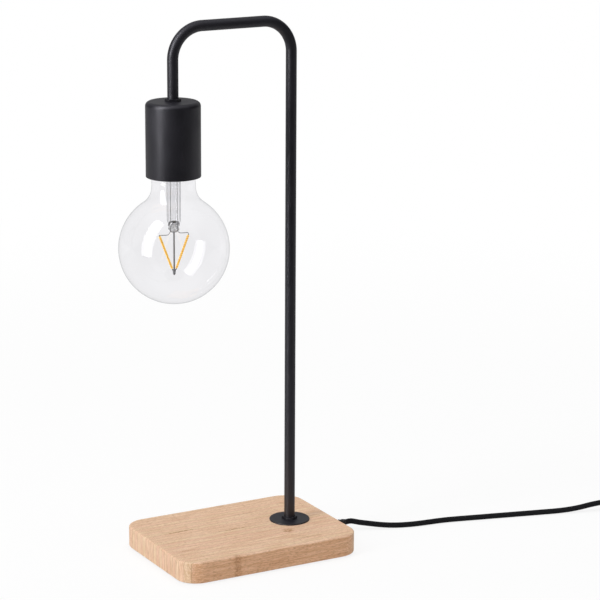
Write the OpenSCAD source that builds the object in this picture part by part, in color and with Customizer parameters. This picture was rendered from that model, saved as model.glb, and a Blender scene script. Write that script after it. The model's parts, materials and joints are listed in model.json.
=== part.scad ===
// Table lamp with a bare globe bulb: a bamboo base, one bent steel tube and an open socket cup.
// Millimetres. The table is the plane z = 0, the origin is under the middle of the base, and
// +X runs along the base towards the post and the cord.

/* [Base] */
// Length of the wooden base, along X
base_l = 174; // [168:1:190]
// Width of the wooden base, along Y
base_w = 128; // [118:1:150]
// Thickness of the wooden base
base_h = 19; // [18:0.5:26]
// Radius of the upright corners of the base
base_corner_r = 19; // [8:1:28]
// Radius of the softened edges of the base
base_edge_r = 1.5; // [0.5:0.25:2.5]
// Distance of the post's axis from the cord end of the base
post_inset = 38; // [36:1:44]
// Wood left above the counterbore that the post is clamped through
web_t = 8; // [6:0.5:9]
// Wood left between the cord pocket and the cord end of the base
end_wall = 9; // [7:0.5:10]
// Height of the cord's exit above the underside of the wood
exit_h = 6.5; // [6.5:0.25:8]

/* [Pad and ballast] */
// Thickness of the soft pad under the base
pad_t = 1.5; // [1:0.25:2.5]
// Depth of the seat that the pad is let into
pad_seat = 0.5; // [0.25:0.05:0.75]
// Bare wood round the pad
pad_margin = 6; // [4:1:12]
// Side of the square steel ballast plate
ballast_side = 96; // [80:2:100]
// Thickness of the ballast plate
ballast_t = 6; // [4:0.5:7]
// Distance of the ballast plate's middle from the post's axis
ballast_offset = 77; // [70:1:80]

/* [Tube] */
// Outside diameter of the steel tube
tube_d = 9.5; // [8:0.25:12]
// Wall of the steel tube
tube_wall = 1; // [0.8:0.1:1.2]
// How much wider the rolled thread at each end of the tube is
thread_over = 0.5; // [0.3:0.1:0.8]
// Height of the arm's centre line above the base
column_h = 451; // [400:1:500]
// Distance between the post's axis and the bulb's axis
arm_reach = 113.5; // [100:0.5:125]
// Centre line radius of the two bends
bend_r = 27.5; // [22:0.5:35]
// Distance from the arm's centre line down to the top of the cup
drop_l = 61.9; // [50:0.1:75]

/* [Clamping] */
// Diameter of the round flange on the base
flange_d = 36; // [30:1:44]
// Thickness of the round flange
flange_t = 1.2; // [0.8:0.1:2]
// Width across flats of the two thin nuts that show
thin_nut_af = 12; // [12:0.25:15]
// Thickness of the two thin nuts that show
thin_nut_t = 2.2; // [1.6:0.1:3]
// Width across flats of the clamping nuts inside
clamp_nut_af = 14; // [13:0.5:17]
// Thickness of the clamping nuts inside
clamp_nut_t = 2.4; // [2:0.1:3]
// Diameter of the washer under the base
washer_d = 24; // [20:1:26]
// Thickness of the washer under the base
washer_t = 1.2; // [0.8:0.1:1.6]
// Thickness of the tooth washer in the cup
tooth_washer_t = 0.6; // [0.4:0.1:1]

/* [Cup and lampholder] */
// Outside diameter of the cup
cup_d = 47; // [45:0.5:54]
// Height of the cup
cup_h = 64.5; // [60:0.5:80]
// Wall of the cup
cup_wall = 1.2; // [0.8:0.1:1.8]
// Radius of the cup's upper edge
cup_edge_r = 4; // [2:0.25:6]
// Outside diameter of the lampholder
holder_d = 38; // [36:0.5:40]
// Height of the lampholder's cap
holder_cap_h = 20; // [18:0.5:24]
// Wall of the lampholder's cap
holder_wall = 2.4; // [1.6:0.1:2.8]
// Thickness of the contact block
block_t = 7; // [5:0.5:8]
// Length of the lampholder's skirt
skirt_l = 33; // [30:0.5:36]
// How far the centre contact reaches down below the block
tongue_drop = 2.6; // [1.6:0.1:3]

/* [Bulb] */
// Diameter of the globe
globe_d = 95; // [80:1:110]
// Length of the bulb from its contact to the bottom of the globe
bulb_l = 140; // [130:1:152]
// Diameter of the glass neck
neck_d = 37.6; // [34:0.2:39]
// Radius of the hollow curve between neck and globe
neck_fillet_r = 18; // [14:1:22]
// Wall of the glass envelope
glass_t = 0.9; // [0.6:0.1:1.4]
// Diameter of the glass tube of the stem
stem_d = 11.8; // [10:0.2:13]
// Height of a filament's upper end above the middle of the globe
filament_rise = 11; // [6:0.5:14]
// Drop of the filaments' lower ends below the middle of the globe
filament_fall = 18.6; // [14:0.2:24]
// Distance of a filament's upper end from the bulb's axis
filament_spread = 12.4; // [8:0.2:15]
// Diameter of a filament
filament_d = 2; // [1.4:0.1:2.4]
// Direction that the two filaments lie in, about the bulb's axis
filament_turn = -15; // [-180:1:180]
// Pitch of the screw thread of bulb and lampholder
edison_pitch = 3.629; // [3.5:0.001:3.8]
// Largest diameter of the bulb's thread
edison_d = 26.2; // [26:0.05:26.4]
// Depth of the thread
edison_depth = 0.95; // [0.8:0.05:1]
// Room between the bulb's thread and the lampholder's
edison_gap = 0.35; // [0.3:0.05:0.5]
// Sheet thickness of the two screw shells
shell_t = 0.35; // [0.3:0.05:0.45]

/* [Cord] */
// Diameter of the cord
cord_d = 5; // [4.5:0.1:5.2]
// Length of the strain relief outside the base
relief_l = 20; // [18:1:20]
// Diameter of the strain relief at the base
relief_d = 8.4; // [7.6:0.2:9]
// Distance between the turns of the coil
coil_pitch = 5.45; // [5.45:0.05:5.7]
// Number of turns in the coil
coil_turns = 7; // [6:1:7]
// Radius of the coil's outer turn
coil_r = 39; // [39:0.5:42]

/* [Switch] */
// Length of the switch on the cord
switch_l = 62; // [58:1:70]
// Width of the switch
switch_w = 27; // [26:0.5:30]
// Height of the switch
switch_h = 17; // [16.5:0.25:19]
// Height of the joint between the two shells
switch_joint_h = 7.5; // [6.5:0.25:8]
// Wall of the two shells
switch_wall = 1.6; // [1.2:0.1:2]
// Length of the rocker
rocker_l = 22; // [18:0.5:24]
// Width of the rocker
rocker_w = 10.6; // [9:0.2:12]
// Tilt of the rocker to each side of level
rocker_tilt = 8; // [5:0.5:9]

/* [Plug] */
// Width of the plug across its pins
plug_w = 35.3; // [34:0.1:36]
// Thickness of the plug
plug_t = 13.7; // [12:0.1:15]
// Length of the plug's body
plug_l = 36; // [32:1:42]
// Distance between the two pins
pin_gap = 18.6; // [17.5:0.1:19]
// Diameter of a pin
pin_d = 4; // [3.8:0.05:4.2]
// Length of a pin
pin_l = 19; // [17:0.5:20]
// Length of the insulated part of a pin
pin_sleeve_l = 10; // [8:0.5:11]
// Diameter of the insulated part of a pin
pin_sleeve_d = 3.4; // [3.2:0.05:3.5]

/* [Hidden] */
$fn = 96;

// Clearances and small steps
cut = 1; // how far a cutter runs past the face that it opens
fit = 0.05; // radial room of a nut or washer on the tube's thread
seat_gap = 0.3; // room round a piece that is let into another
thread_show = 0.5; // thread left standing past a clamping nut
arc_step = 6; // degrees between the points of a drawn arc

// Heights of the base
wood_z = pad_t - pad_seat;
base_top = wood_z + base_h;
web_z = base_top - web_t;
exit_z = wood_z + exit_h;
pocket_z = exit_z + cord_d / 2;
counterbore_r = 14;
pocket_w = 28;

// Places along the base
post_x = base_l / 2 - post_inset;
bulb_x = post_x - arm_reach;
pocket_end = base_l / 2 - end_wall;
clamp_x = pocket_end - 8;
clamp_l = 8;
clamp_w = 26;
clamp_under = 3;
clamp_screw_y = 9;
sheath_end = clamp_x - 6;
relief_tip = base_l / 2 + relief_l;
ballast_x = post_x - ballast_offset;
ballast_z = wood_z + pad_seat + 1;
ballast_screw_at = ballast_side / 2 - 10;
pad_l = base_l - 2 * pad_margin;
pad_w = base_w - 2 * pad_margin;
pad_corner_r = max(base_corner_r - pad_margin, 2);

// The tube and what clamps it
tube_r = tube_d / 2;
bore_r = tube_r - tube_wall;
thread_r = (tube_d + thread_over) / 2;
arm_z = base_top + column_h;
cup_top = arm_z - drop_l;
washer_z = web_z - washer_t;
clamp_nut_z = washer_z - clamp_nut_t;
tube_foot = clamp_nut_z - thread_show;
foot_nut_z = base_top + flange_t;
inner_nut_z = cup_top - cup_wall - tooth_washer_t - clamp_nut_t;

// The lampholder, from the cup's top downwards
holder_top = inner_nut_z - 0.4;
holder_roof = 4;
tube_end = holder_top - holder_roof - 3;
block_top = holder_top - holder_cap_h;
block_z = block_top - block_t;
block_ledge = 1.2;
contact_gap = 0.2;
contact_z = block_z - tongue_drop - contact_gap;

// The bulb, from its contact downwards
button_t = 1.2;
button_r = 4.6;
insulator_t = 1.9;
shell_top = contact_z - button_t - insulator_t;
cap_l = 26.2;
shell_rim = contact_z - cap_l;
shell_plain = 4.5;
thread_low = shell_rim + shell_plain;
thread_high = shell_top - 1.4;
globe_r = globe_d / 2;
globe_z = contact_z - bulb_l + globe_r;
neck_r = neck_d / 2;
seal_r = edison_d / 2 - shell_t - 0.45;
seal_z = shell_rim + 2.4;
shoulder_z = shell_rim - 2 - (neck_r - seal_r);
fillet_x = neck_r + neck_fillet_r;
fillet_rise = sqrt(pow(globe_r + neck_fillet_r, 2) - pow(fillet_x, 2));
fillet_angle = atan2(fillet_rise, fillet_x);
stem_r = stem_d / 2;
pinch_z = globe_z + 14.2;
pinch_l = 7;
filament_top = globe_z + filament_rise;
filament_low = globe_z - filament_fall;
stem_wire_x = 3;
rod_tip = filament_low - 5;

// Screw threads of bulb and lampholder: 20 columns round and 6 rows in each pitch
shell_sides = 20;
rows_per_pitch = 6;
cap_minor_r = edison_d / 2 - edison_depth;
holder_minor_r = cap_minor_r + edison_gap;
holder_major_r = holder_minor_r + edison_depth;
holder_bore_r = holder_major_r + shell_t + 0.3;
holder_shell_top = block_z - 0.3;
holder_shell_l = 23.5;
holder_shell_low = block_z - holder_shell_l;
block_r = holder_bore_r + block_ledge;
terminal_y = 7;
terminal_h = 5;
lead_r = 1.05;
lead_y = 1.25;
core_r = 0.5;
lead_straight = 2;
lead_bare = 0.5;
lead_step = 15;

// The cord's free stretches. Each route is a list of chosen points, and its two ends come from
// the pieces that it meets.
cord_r = cord_d / 2;
floor_gap = 0.05;
stretch_sides = 8;
route_to_switch = [
    [120, -4, 6.3], [128, -8, 5.1], [136, -12, 4], [144, -15.5, 3.2], [152, -18.3, 2.7],
    [160, -20.7, 2.55], [168, -22.6, 2.55], [176, -23.8, 2.55], [184, -24.7, 2.55],
    [192, -25.6, 2.55], [200, -27, 2.55], [208, -28.9, 2.55], [216, -31, 2.55],
    [224, -33.2, 2.55], [232, -35.4, 2.55], [242, -38, 2.55], [254, -41.3, 2.55],
    [266, -44.5, 2.55], [278, -47.8, 2.55], [290, -51, 2.55], [302, -54.3, 2.6],
    [314, -57.5, 3.1], [325, -60.4, 4.3], [336, -63.3, 6.2]
];
route_to_coil = [
    [466, -96.5, 6.9], [475, -93, 5.3], [482, -86, 4], [484.8, -77, 3.3], [483.8, -67, 3],
    [480.3, -57, 3], [476, -48, 3], [472.5, -41.5, 3]
];
route_to_plug = [
    [471, -18, 7.9], [471, -11, 6.8], [471.3, -4, 5.5], [473, 4, 4], [477.5, 11, 3],
    [484, 15.7, 2.6], [492, 17.4, 2.55], [500, 15.7, 2.6], [506.6, 11, 3], [511, 4, 4.1],
    [512.7, -3, 5.6]
];
square_end = 6;

// The coil on the table
coil_at = [432, -30];
tie_t = 0.4;
coil_z = cord_r + floor_gap + tie_t + floor_gap;
coil_layer = coil_pitch;
coil_sides = 6;
loop_rings = 24;
coil_min_r = coil_r - coil_pitch * coil_turns / 2;
tie_w = 6;

// The switch and the plug on the cord
switch_at = [402, -81];
switch_turn = -15;
switch_corner_r = 7;
switch_edge_r = 2;
switch_relief_l = 20;
switch_dir = [cos(switch_turn), sin(switch_turn), 0];
switch_in = [switch_at.x, switch_at.y, switch_joint_h] - (switch_l / 2 + switch_relief_l) * switch_dir;
switch_out = [switch_at.x, switch_at.y, switch_joint_h] + (switch_l / 2 + switch_relief_l) * switch_dir;
pivot_z = switch_h - 4.2;
pivot_pin_r = 1;
cheek_t = 2.2;
rocker_gap = 0.3;
plug_at = [512.9, -76];
plug_axis_z = plug_t / 2;
plug_relief_l = 26;
pin_root_l = 8; // how deep a pin goes into the plug's body
pin_core_r = pin_sleeve_d / 2 - 0.4;
plug_in = [plug_at.x, plug_at.y + plug_l + plug_relief_l, plug_axis_z];

// Colours
bamboo = [0.82, 0.66, 0.49];
powder_black = [0.14, 0.14, 0.15];
steel = [0.66, 0.67, 0.69];
brass = [0.80, 0.64, 0.32];
nickel = [0.75, 0.74, 0.70];
phenolic = [0.10, 0.09, 0.09];
ceramic = [0.88, 0.87, 0.83];
clear = [0.85, 0.90, 0.92, 0.35];
amber = [0.93, 0.68, 0.20];
textile = [0.09, 0.09, 0.10];
moulded = [0.07, 0.07, 0.07];

// ---- Shared shapes ----

// Points of an arc about c, from angle a0 to a1
function arc(c, r, a0, a1, step = arc_step) =
    let (n = max(2, ceil(abs(a1 - a0) / step)))
    [for (i = [0:n]) let (a = a0 + (a1 - a0) * i / n) c + r * [cos(a), sin(a)]];

function reverse(list) = [for (i = [len(list) - 1:-1:0]) list[i]];

function unit(v) = v / norm(v);

// List without its first item, for an arc that goes on from the end of another
function tail(list) = [for (i = [1:len(list) - 1]) list[i]];

// Two triangles for each cell of a grid of n columns and m rows that closes on itself both ways
function torus_faces(n, m) = [
    for (i = [0:n - 1], k = [0:m - 1])
        let (a = i * m + k, b = ((i + 1) % n) * m + k)
        let (c = ((i + 1) % n) * m + (k + 1) % m, d = i * m + (k + 1) % m)
        each [[a, c, b], [a, d, c]]
];

// Faces of a swept tube of n rings with m corners each, closed by a fan at both ends
function tube_faces(n, m) = concat(
    [for (i = [0:n - 2], k = [0:m - 1])
        let (a = i * m + k, b = i * m + (k + 1) % m)
        each [[a, b + m, b], [a, a + m, b + m]]],
    [for (k = [1:m - 2]) [0, k, k + 1]],
    [for (k = [1:m - 2]) let (e = (n - 1) * m) [e, e + k + 1, e + k]]
);

// Direction of the route p at its point i, square to what it meets at its two ends
function heading(p, i) =
    i == 0 ? unit(p[1] - p[0]) :
    i == len(p) - 1 ? unit(p[i] - p[i - 1]) :
    unit(unit(p[i + 1] - p[i]) + unit(p[i] - p[i - 1]));

// Ring of corners round the point i of the route p. The first corner lies towards ref, which the
// route never runs along.
function tube_ring(p, i, r, sides, ref) =
    let (t = heading(p, i), up = unit(ref - (ref * t) * t), side = cross(t, up))
    [for (k = [0:sides - 1]) let (a = 360 * k / sides) p[i] + r * (sin(a) * side + cos(a) * up)];

module swept_tube(p, r, sides, ref = [0, 0, 1]) {
    polyhedron(
        points = [for (i = [0:len(p) - 1]) each tube_ring(p, i, r, sides, ref)],
        faces = tube_faces(len(p), sides)
    );
}

module ring(outer_r, inner_r, h) {
    difference() {
        cylinder(r = outer_r, h = h);
        translate([0, 0, -cut]) cylinder(r = inner_r, h = h + 2 * cut);
    }
}

// Straight round rod from p to q
module rod(p, q, r) {
    d = q - p;
    translate(p) rotate([0, acos(d.z / norm(d)), atan2(d.y, d.x)]) cylinder(r = r, h = norm(d), $fn = 32);
}

// Flat-sided nut with turned corners, standing on z = 0
module hex_nut(af, t, hole_r) {
    corner_r = af / sqrt(3);
    turned = (corner_r - af / 2) * 0.9;
    difference() {
        intersection() {
            rotate([0, 0, 30]) cylinder(r = corner_r, h = t, $fn = 6);
            union() {
                cylinder(r = corner_r, h = t - turned * 0.6);
                translate([0, 0, t - turned * 0.6])
                    cylinder(r1 = corner_r, r2 = corner_r - turned, h = turned * 0.6);
            }
        }
        translate([0, 0, -cut]) cylinder(r = hole_r, h = t + 2 * cut);
    }
}

// Countersunk screw, head down at z = 0 and point up, with a slot in its head
module flat_head_screw(head_r, shank_r, l) {
    head_t = head_r - shank_r;
    difference() {
        rotate_extrude($fn = 32)
            polygon([[0, 0], [head_r, 0], [shank_r, head_t], [shank_r, l - 2], [0.2, l], [0, l]]);
        translate([-head_r, -0.4, -cut]) cube([2 * head_r, 0.8, cut + head_t / 2]);
    }
}

// Half section of a plate with softened edges, from x = 0 out to x = reach
module edge_profile(reach, h, edge) {
    square([reach - edge, h]);
    translate([0, edge]) square([reach, h - 2 * edge]);
    for (y = [edge, h - edge]) translate([reach - edge, y]) circle(edge, $fn = 32);
}

// Plate with upright corners of radius r and softened edges, standing on z = 0: a bar along X,
// a bar at each end and a quarter turn at each corner
module soft_plate(l, w, h, r, edge) {
    rotate([90, 0, 90]) translate([0, 0, r - l / 2]) linear_extrude(l - 2 * r)
        for (side = [0, 1]) mirror([side, 0]) edge_profile(w / 2, h, edge);
    for (turn = [0, 180]) rotate([0, 0, turn]) {
        translate([l / 2 - r, w / 2 - r, 0]) rotate([90, 0, 0]) linear_extrude(w - 2 * r)
            edge_profile(r, h, edge);
        translate([l / 2 - r, w / 2 - r, 0]) rotate_extrude(angle = 90) edge_profile(r, h, edge);
        translate([l / 2 - r, r - w / 2, 0]) rotate([0, 0, -90]) rotate_extrude(angle = 90)
            edge_profile(r, h, edge);
    }
}

// Plate with upright corners of radius r and sharp edges, standing on z = 0
module plain_plate(l, w, h, r) {
    linear_extrude(h) {
        square([l - 2 * r, w], center = true);
        square([l, w - 2 * r], center = true);
        for (x = [-1, 1], y = [-1, 1])
            translate([x * (l / 2 - r), y * (w / 2 - r)]) circle(r);
    }
}

groove_w = 1.1;
groove_t = 0.25;

// Tapered and grooved sleeve round a cord, from x = 0 to x = l
module relief_sleeve(l, d0, d1, grooves) {
    step = l / (grooves + 0.5);
    difference() {
        rotate([0, 90, 0]) rotate_extrude()
            polygon([[cord_r + fit, 0], [d0 / 2, 0], [d1 / 2, l], [cord_r + fit, l]]);
        for (i = [1:grooves])
            translate([step * i, 0, 0]) rotate([0, 90, 0])
                ring(d0, d0 / 2 - (d0 - d1) / 2 * i / grooves - groove_t, groove_w);
    }
}

// ---- Base ----

module base_block() {
    color(bamboo) difference() {
        translate([0, 0, wood_z]) soft_plate(base_l, base_w, base_h, base_corner_r, base_edge_r);
        translate([0, 0, wood_z - cut])
            plain_plate(pad_l + 2 * seat_gap, pad_w + 2 * seat_gap, pad_seat + cut, pad_corner_r);
        translate([post_x, 0, -cut]) cylinder(r = thread_r + seat_gap, h = base_top + 2 * cut);
        translate([post_x, 0, -cut]) cylinder(r = counterbore_r, h = web_z + cut);
        translate([post_x, -pocket_w / 2, -cut]) cube([pocket_end - post_x, pocket_w, pocket_z + cut]);
        translate([pocket_end - cut, 0, exit_z])
            rotate([0, 90, 0]) cylinder(r = relief_d / 2 - 0.6, h = end_wall + 2 * cut);
        ballast_room();
        for (y = [-1, 1]) translate([clamp_x, y * clamp_screw_y, 0]) cylinder(r = 1.3, h = pocket_z + 6);
    }
}

// Pocket for the ballast plate, with holes for its screws
module ballast_room() {
    room = ballast_side + 2 * seat_gap;
    room_top = ballast_z + ballast_t;
    translate([ballast_x, 0, -cut]) {
        plain_plate(room, room, room_top + cut, 4);
        for (x = [-1, 1], y = [-1, 1])
            translate([x * ballast_screw_at, y * ballast_screw_at, 0])
                cylinder(r = 1.8, h = room_top + 8 + cut);
    }
}

module ballast_plate() {
    color(steel) translate([ballast_x, 0, ballast_z]) difference() {
        plain_plate(ballast_side, ballast_side, ballast_t, 4);
        for (x = [-1, 1], y = [-1, 1]) translate([x * ballast_screw_at, y * ballast_screw_at, 0]) {
            translate([0, 0, -cut]) cylinder(r = 1.8, h = ballast_t + 2 * cut);
            translate([0, 0, -0.1]) cylinder(r1 = 3.8, r2 = 1.7, h = 2.1);
        }
    }
}

module ballast_screws() {
    color(steel)
        for (x = [-1, 1], y = [-1, 1])
            translate([ballast_x + x * ballast_screw_at, y * ballast_screw_at, ballast_z])
                flat_head_screw(3.4, 1.6, ballast_t + 7);
}

module floor_pad() {
    color([0.16, 0.16, 0.16]) plain_plate(pad_l, pad_w, pad_t, pad_corner_r);
}

module post_flange() {
    flange_r = flange_d / 2;
    edge = flange_t / 3;
    color(powder_black) translate([post_x, 0, base_top]) rotate_extrude()
        polygon(concat(
            [[thread_r + fit, 0], [flange_r, 0]],
            arc([flange_r - edge, flange_t - edge], edge, 0, 90),
            [[thread_r + fit, flange_t]]
        ));
}

module foot_nut() {
    color(powder_black) translate([post_x, 0, foot_nut_z]) hex_nut(thin_nut_af, thin_nut_t, thread_r + fit);
}

module clamp_washer() {
    color(steel) translate([post_x, 0, washer_z]) ring(washer_d / 2, thread_r + fit, washer_t);
}

module clamp_nut() {
    color(steel) translate([post_x, 0, web_z - washer_t]) mirror([0, 0, 1])
        hex_nut(clamp_nut_af, clamp_nut_t, thread_r + fit);
}

module cord_clamp() {
    clamp_z = exit_z - cord_r - clamp_under;
    color(phenolic) difference() {
        translate([clamp_x - clamp_l / 2, -clamp_w / 2, clamp_z])
            cube([clamp_l, clamp_w, pocket_z - clamp_z]);
        translate([clamp_x - clamp_l, 0, exit_z]) rotate([0, 90, 0])
            cylinder(r = cord_r + fit, h = 2 * clamp_l);
        translate([clamp_x - clamp_l, -cord_r - fit, exit_z]) cube([2 * clamp_l, cord_d + 2 * fit, cord_d]);
        for (y = [-1, 1]) translate([clamp_x, y * clamp_screw_y, clamp_z]) {
            translate([0, 0, -cut]) cylinder(r = 1.6, h = pocket_z);
            translate([0, 0, -0.1]) cylinder(r1 = 3.2, r2 = 1.5, h = 1.8);
        }
    }
}

module cord_clamp_screws() {
    clamp_z = exit_z - cord_r - clamp_under;
    color(steel)
        for (y = [-1, 1])
            translate([clamp_x, y * clamp_screw_y, clamp_z])
                flat_head_screw(2.6, 1.2, pocket_z - clamp_z + 5.5);
}

// Strain relief: a plug in the end wall, a small collar outside it and a tapered sleeve
module cord_relief() {
    collar_t = 1.6;
    color(moulded) translate([base_l / 2, 0, exit_z]) {
        translate([-end_wall, 0, 0]) rotate([0, 90, 0])
            ring(relief_d / 2 - 0.6 - fit, cord_r + fit, end_wall);
        rotate([0, 90, 0]) ring(relief_d / 2 + 1, cord_r + fit, collar_t);
        translate([collar_t, 0, 0]) relief_sleeve(relief_l - collar_t, relief_d, cord_d + 1.2, 5);
    }
}

// The cord's end, held by the clamp and the strain relief
module base_cord() {
    color(textile) translate([sheath_end, 0, exit_z]) rotate([0, 90, 0])
        cylinder(r = cord_r, h = relief_tip - sheath_end);
}

// ---- Tube and leads ----

// Rod of radius r along the tube, from the post's height z0, over the arm, to the drop's height z1
module crook(r, z0, z1) {
    translate([post_x, 0, z0]) cylinder(r = r, h = arm_z - bend_r - z0);
    translate([post_x - bend_r, 0, arm_z - bend_r]) quarter_bend(bend_r, r, 0);
    translate([bulb_x + bend_r, 0, arm_z]) rotate([0, 90, 0]) cylinder(r = r, h = arm_reach - 2 * bend_r);
    translate([bulb_x + bend_r, 0, arm_z - bend_r]) quarter_bend(bend_r, r, 90);
    translate([bulb_x, 0, z1]) cylinder(r = r, h = arm_z - bend_r - z1);
}

// Quarter of a ring in the XZ plane, starting at angle a from +X
module quarter_bend(centre_r, r, a) {
    rotate([90, 0, 0]) rotate([0, 0, a]) rotate_extrude(angle = 90) translate([centre_r, 0]) circle(r);
}

module lamp_tube() {
    color(powder_black) difference() {
        union() {
            crook(tube_r, tube_foot, tube_end);
            translate([post_x, 0, tube_foot]) cylinder(r = thread_r, h = foot_nut_z + thin_nut_t - tube_foot);
            translate([bulb_x, 0, tube_end]) cylinder(r = thread_r, h = cup_top + thin_nut_t - tube_end);
        }
        crook(bore_r, tube_foot - cut, tube_end - cut);
    }
}

// Route of a lead in the XZ plane: down from the cord's end, level to the post, and over the arm
function lead_climb() =
    let (sink_r = 4, sink_turn = 60, rise_r = 3.5)
    let (sink_x = sheath_end - lead_straight, level_x = sink_x - 2 * sink_r * sin(sink_turn))
    let (low_z = exit_z - 2 * sink_r * (1 - cos(sink_turn)))
    concat(
        [[sheath_end, exit_z]],
        arc([sink_x, exit_z - sink_r], sink_r, 90, 90 + sink_turn, lead_step),
        tail(reverse(arc([level_x, low_z + sink_r], sink_r, -90, sink_turn - 90, lead_step))),
        reverse(arc([post_x + rise_r, low_z + rise_r], rise_r, 180, 270, lead_step)),
        arc([post_x - bend_r, arm_z - bend_r], bend_r, 0, 90, lead_step),
        arc([bulb_x + bend_r, arm_z - bend_r], bend_r, 90, 180, lead_step)
    );

// Route of a lead in the YZ plane, out of the tube and down to the terminal's top
function lead_landing() =
    let (spread = terminal_y - lead_y, turn = 60, low = block_top + terminal_h + lead_bare)
    let (high = low + 2 * spread * sin(turn))
    concat(
        arc([lead_y + spread, high], spread, 180, 180 + turn, lead_step),
        tail(reverse(arc([terminal_y - spread, low], spread, 0, turn, lead_step))),
        [[terminal_y, low - lead_bare]]
    );

// One insulated lead, from the cord's end under the post, through the tube to its terminal
module lead(side) {
    lead_sides = 8;
    route = concat(
        [for (q = lead_climb()) [q.x, side * lead_y, q.y]],
        [for (q = lead_landing()) [bulb_x, side * q.x, q.y]]
    );
    swept_tube(route, lead_r, lead_sides, [0, 1, 0]);
    translate([bulb_x, side * terminal_y, block_top + 1]) cylinder(r = core_r, h = terminal_h - lead_bare);
}

module lead_live() {
    color([0.45, 0.27, 0.14]) lead(1);
}

module lead_neutral() {
    color([0.20, 0.35, 0.70]) lead(-1);
}

// ---- Cup and lampholder ----

module cup_nut() {
    color(powder_black) translate([bulb_x, 0, cup_top]) hex_nut(thin_nut_af, thin_nut_t, thread_r + fit);
}

module socket_cup() {
    r = cup_d / 2;
    low = cup_top - cup_h;
    hole = thread_r + fit;
    lip = cup_wall / 3;
    inner_edge = max(cup_edge_r - cup_wall, 0.5);
    inner_r = r - cup_wall;
    color(powder_black) translate([bulb_x, 0, 0]) rotate_extrude()
        polygon(concat(
            [[hole, cup_top]],
            reverse(arc([r - cup_edge_r, cup_top - cup_edge_r], cup_edge_r, 0, 90)),
            [[r, low + lip], [r - lip, low], [inner_r + lip, low], [inner_r, low + lip]],
            arc([inner_r - inner_edge, cup_top - cup_wall - inner_edge], inner_edge, 0, 90),
            [[hole, cup_top - cup_wall]]
        ));
}

module tooth_washer() {
    teeth = 12;
    outer_r = clamp_nut_af / 2 + 0.5;
    color(steel) translate([bulb_x, 0, inner_nut_z + clamp_nut_t]) difference() {
        ring(outer_r, thread_r + fit, tooth_washer_t);
        for (i = [0:teeth - 1])
            rotate([0, 0, 360 / teeth * i]) translate([outer_r - 0.9, -0.6, -cut])
                cube([2, 1.2, 2 * cut + 1]);
    }
}

module cup_inner_nut() {
    color(steel) translate([bulb_x, 0, inner_nut_z]) hex_nut(clamp_nut_af, clamp_nut_t, thread_r + fit);
}

module holder_cap() {
    r = holder_d / 2;
    edge = 3;
    inner_r = r - holder_wall;
    color(phenolic) translate([bulb_x, 0, 0]) rotate_extrude()
        polygon(concat(
            [[thread_r + fit, holder_top]],
            reverse(arc([r - edge, holder_top - edge], edge, 0, 90)),
            [[r, block_top], [inner_r, block_top], [inner_r, holder_top - holder_roof],
             [thread_r + fit, holder_top - holder_roof]]
        ));
}

module holder_skirt() {
    r = holder_d / 2;
    low = block_top - skirt_l;
    edge = 1;
    color(phenolic) translate([bulb_x, 0, 0]) rotate_extrude()
        polygon([
            [holder_bore_r, low], [r - edge, low], [r, low + edge], [r, block_top],
            [block_r + 0.2, block_top], [block_r + 0.2, block_z], [holder_bore_r, block_z]
        ]);
}

module contact_block() {
    color(ceramic) translate([bulb_x, 0, 0]) difference() {
        translate([0, 0, block_z]) cylinder(r = block_r, h = block_t);
        for (side = [-1, 1])
            translate([-strap_w / 2 - 0.3, side * strap_y - 0.6, block_z - cut])
                cube([strap_w + 0.6, 1.2, block_t + 2 * cut]);
    }
}

// The two strips that lead through the block to the terminals
strap_w = 5;
strap_t = 0.5;
strap_y = terminal_y + 3;

// Screw shell of sheet metal. Each row is [height, radius, depth of thread], and the crest of the
// thread climbs to the right. Columns run round, and the section of each closes through the wall.
module screw_shell(rows, wall, inward) {
    function crest(z, a) = (1 + cos(360 * (z - contact_z) / edison_pitch - a)) / 2;
    function r_at(row, a) = row[1] + row[2] * crest(row[0], a);
    function column(a) = concat(
        [for (row = rows) [r_at(row, a), row[0]]],
        [for (row = reverse(rows)) [r_at(row, a) + (inward ? -wall : wall), row[0]]]
    );
    translate([bulb_x, 0, 0]) polyhedron(
        points = [for (i = [0:shell_sides - 1]) let (a = 360 * i / shell_sides)
            for (q = column(a)) [q[0] * cos(a), q[0] * sin(a), q[1]]],
        faces = [for (f = torus_faces(shell_sides, 2 * len(rows))) inward ? f : [f[0], f[2], f[1]]]
    );
}

// Rows of a thread between two heights: it fades in and out within half a turn, towards radius
// base_r when out is true, and towards base_r plus depth when it is false
function thread_rows(z0, z1, base_r, depth, out) =
    let (n = ceil((z1 - z0) / edison_pitch * rows_per_pitch), fade = edison_pitch / 2)
    [for (i = [0:n])
        let (z = z0 + (z1 - z0) * i / n, w = min(1, (z - z0) / fade, (z1 - z) / fade))
        [z, out ? base_r : base_r + depth * (1 - w), depth * w]];

module holder_shell() {
    rim_r = holder_bore_r - 0.2 - shell_t;
    color(brass) screw_shell(concat(
        [[holder_shell_low, rim_r, 0]],
        thread_rows(holder_shell_low + 0.8, holder_shell_top - 0.8, holder_minor_r, edison_depth, false),
        [[holder_shell_top, rim_r, 0]]
    ), shell_t, false);
}

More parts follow.
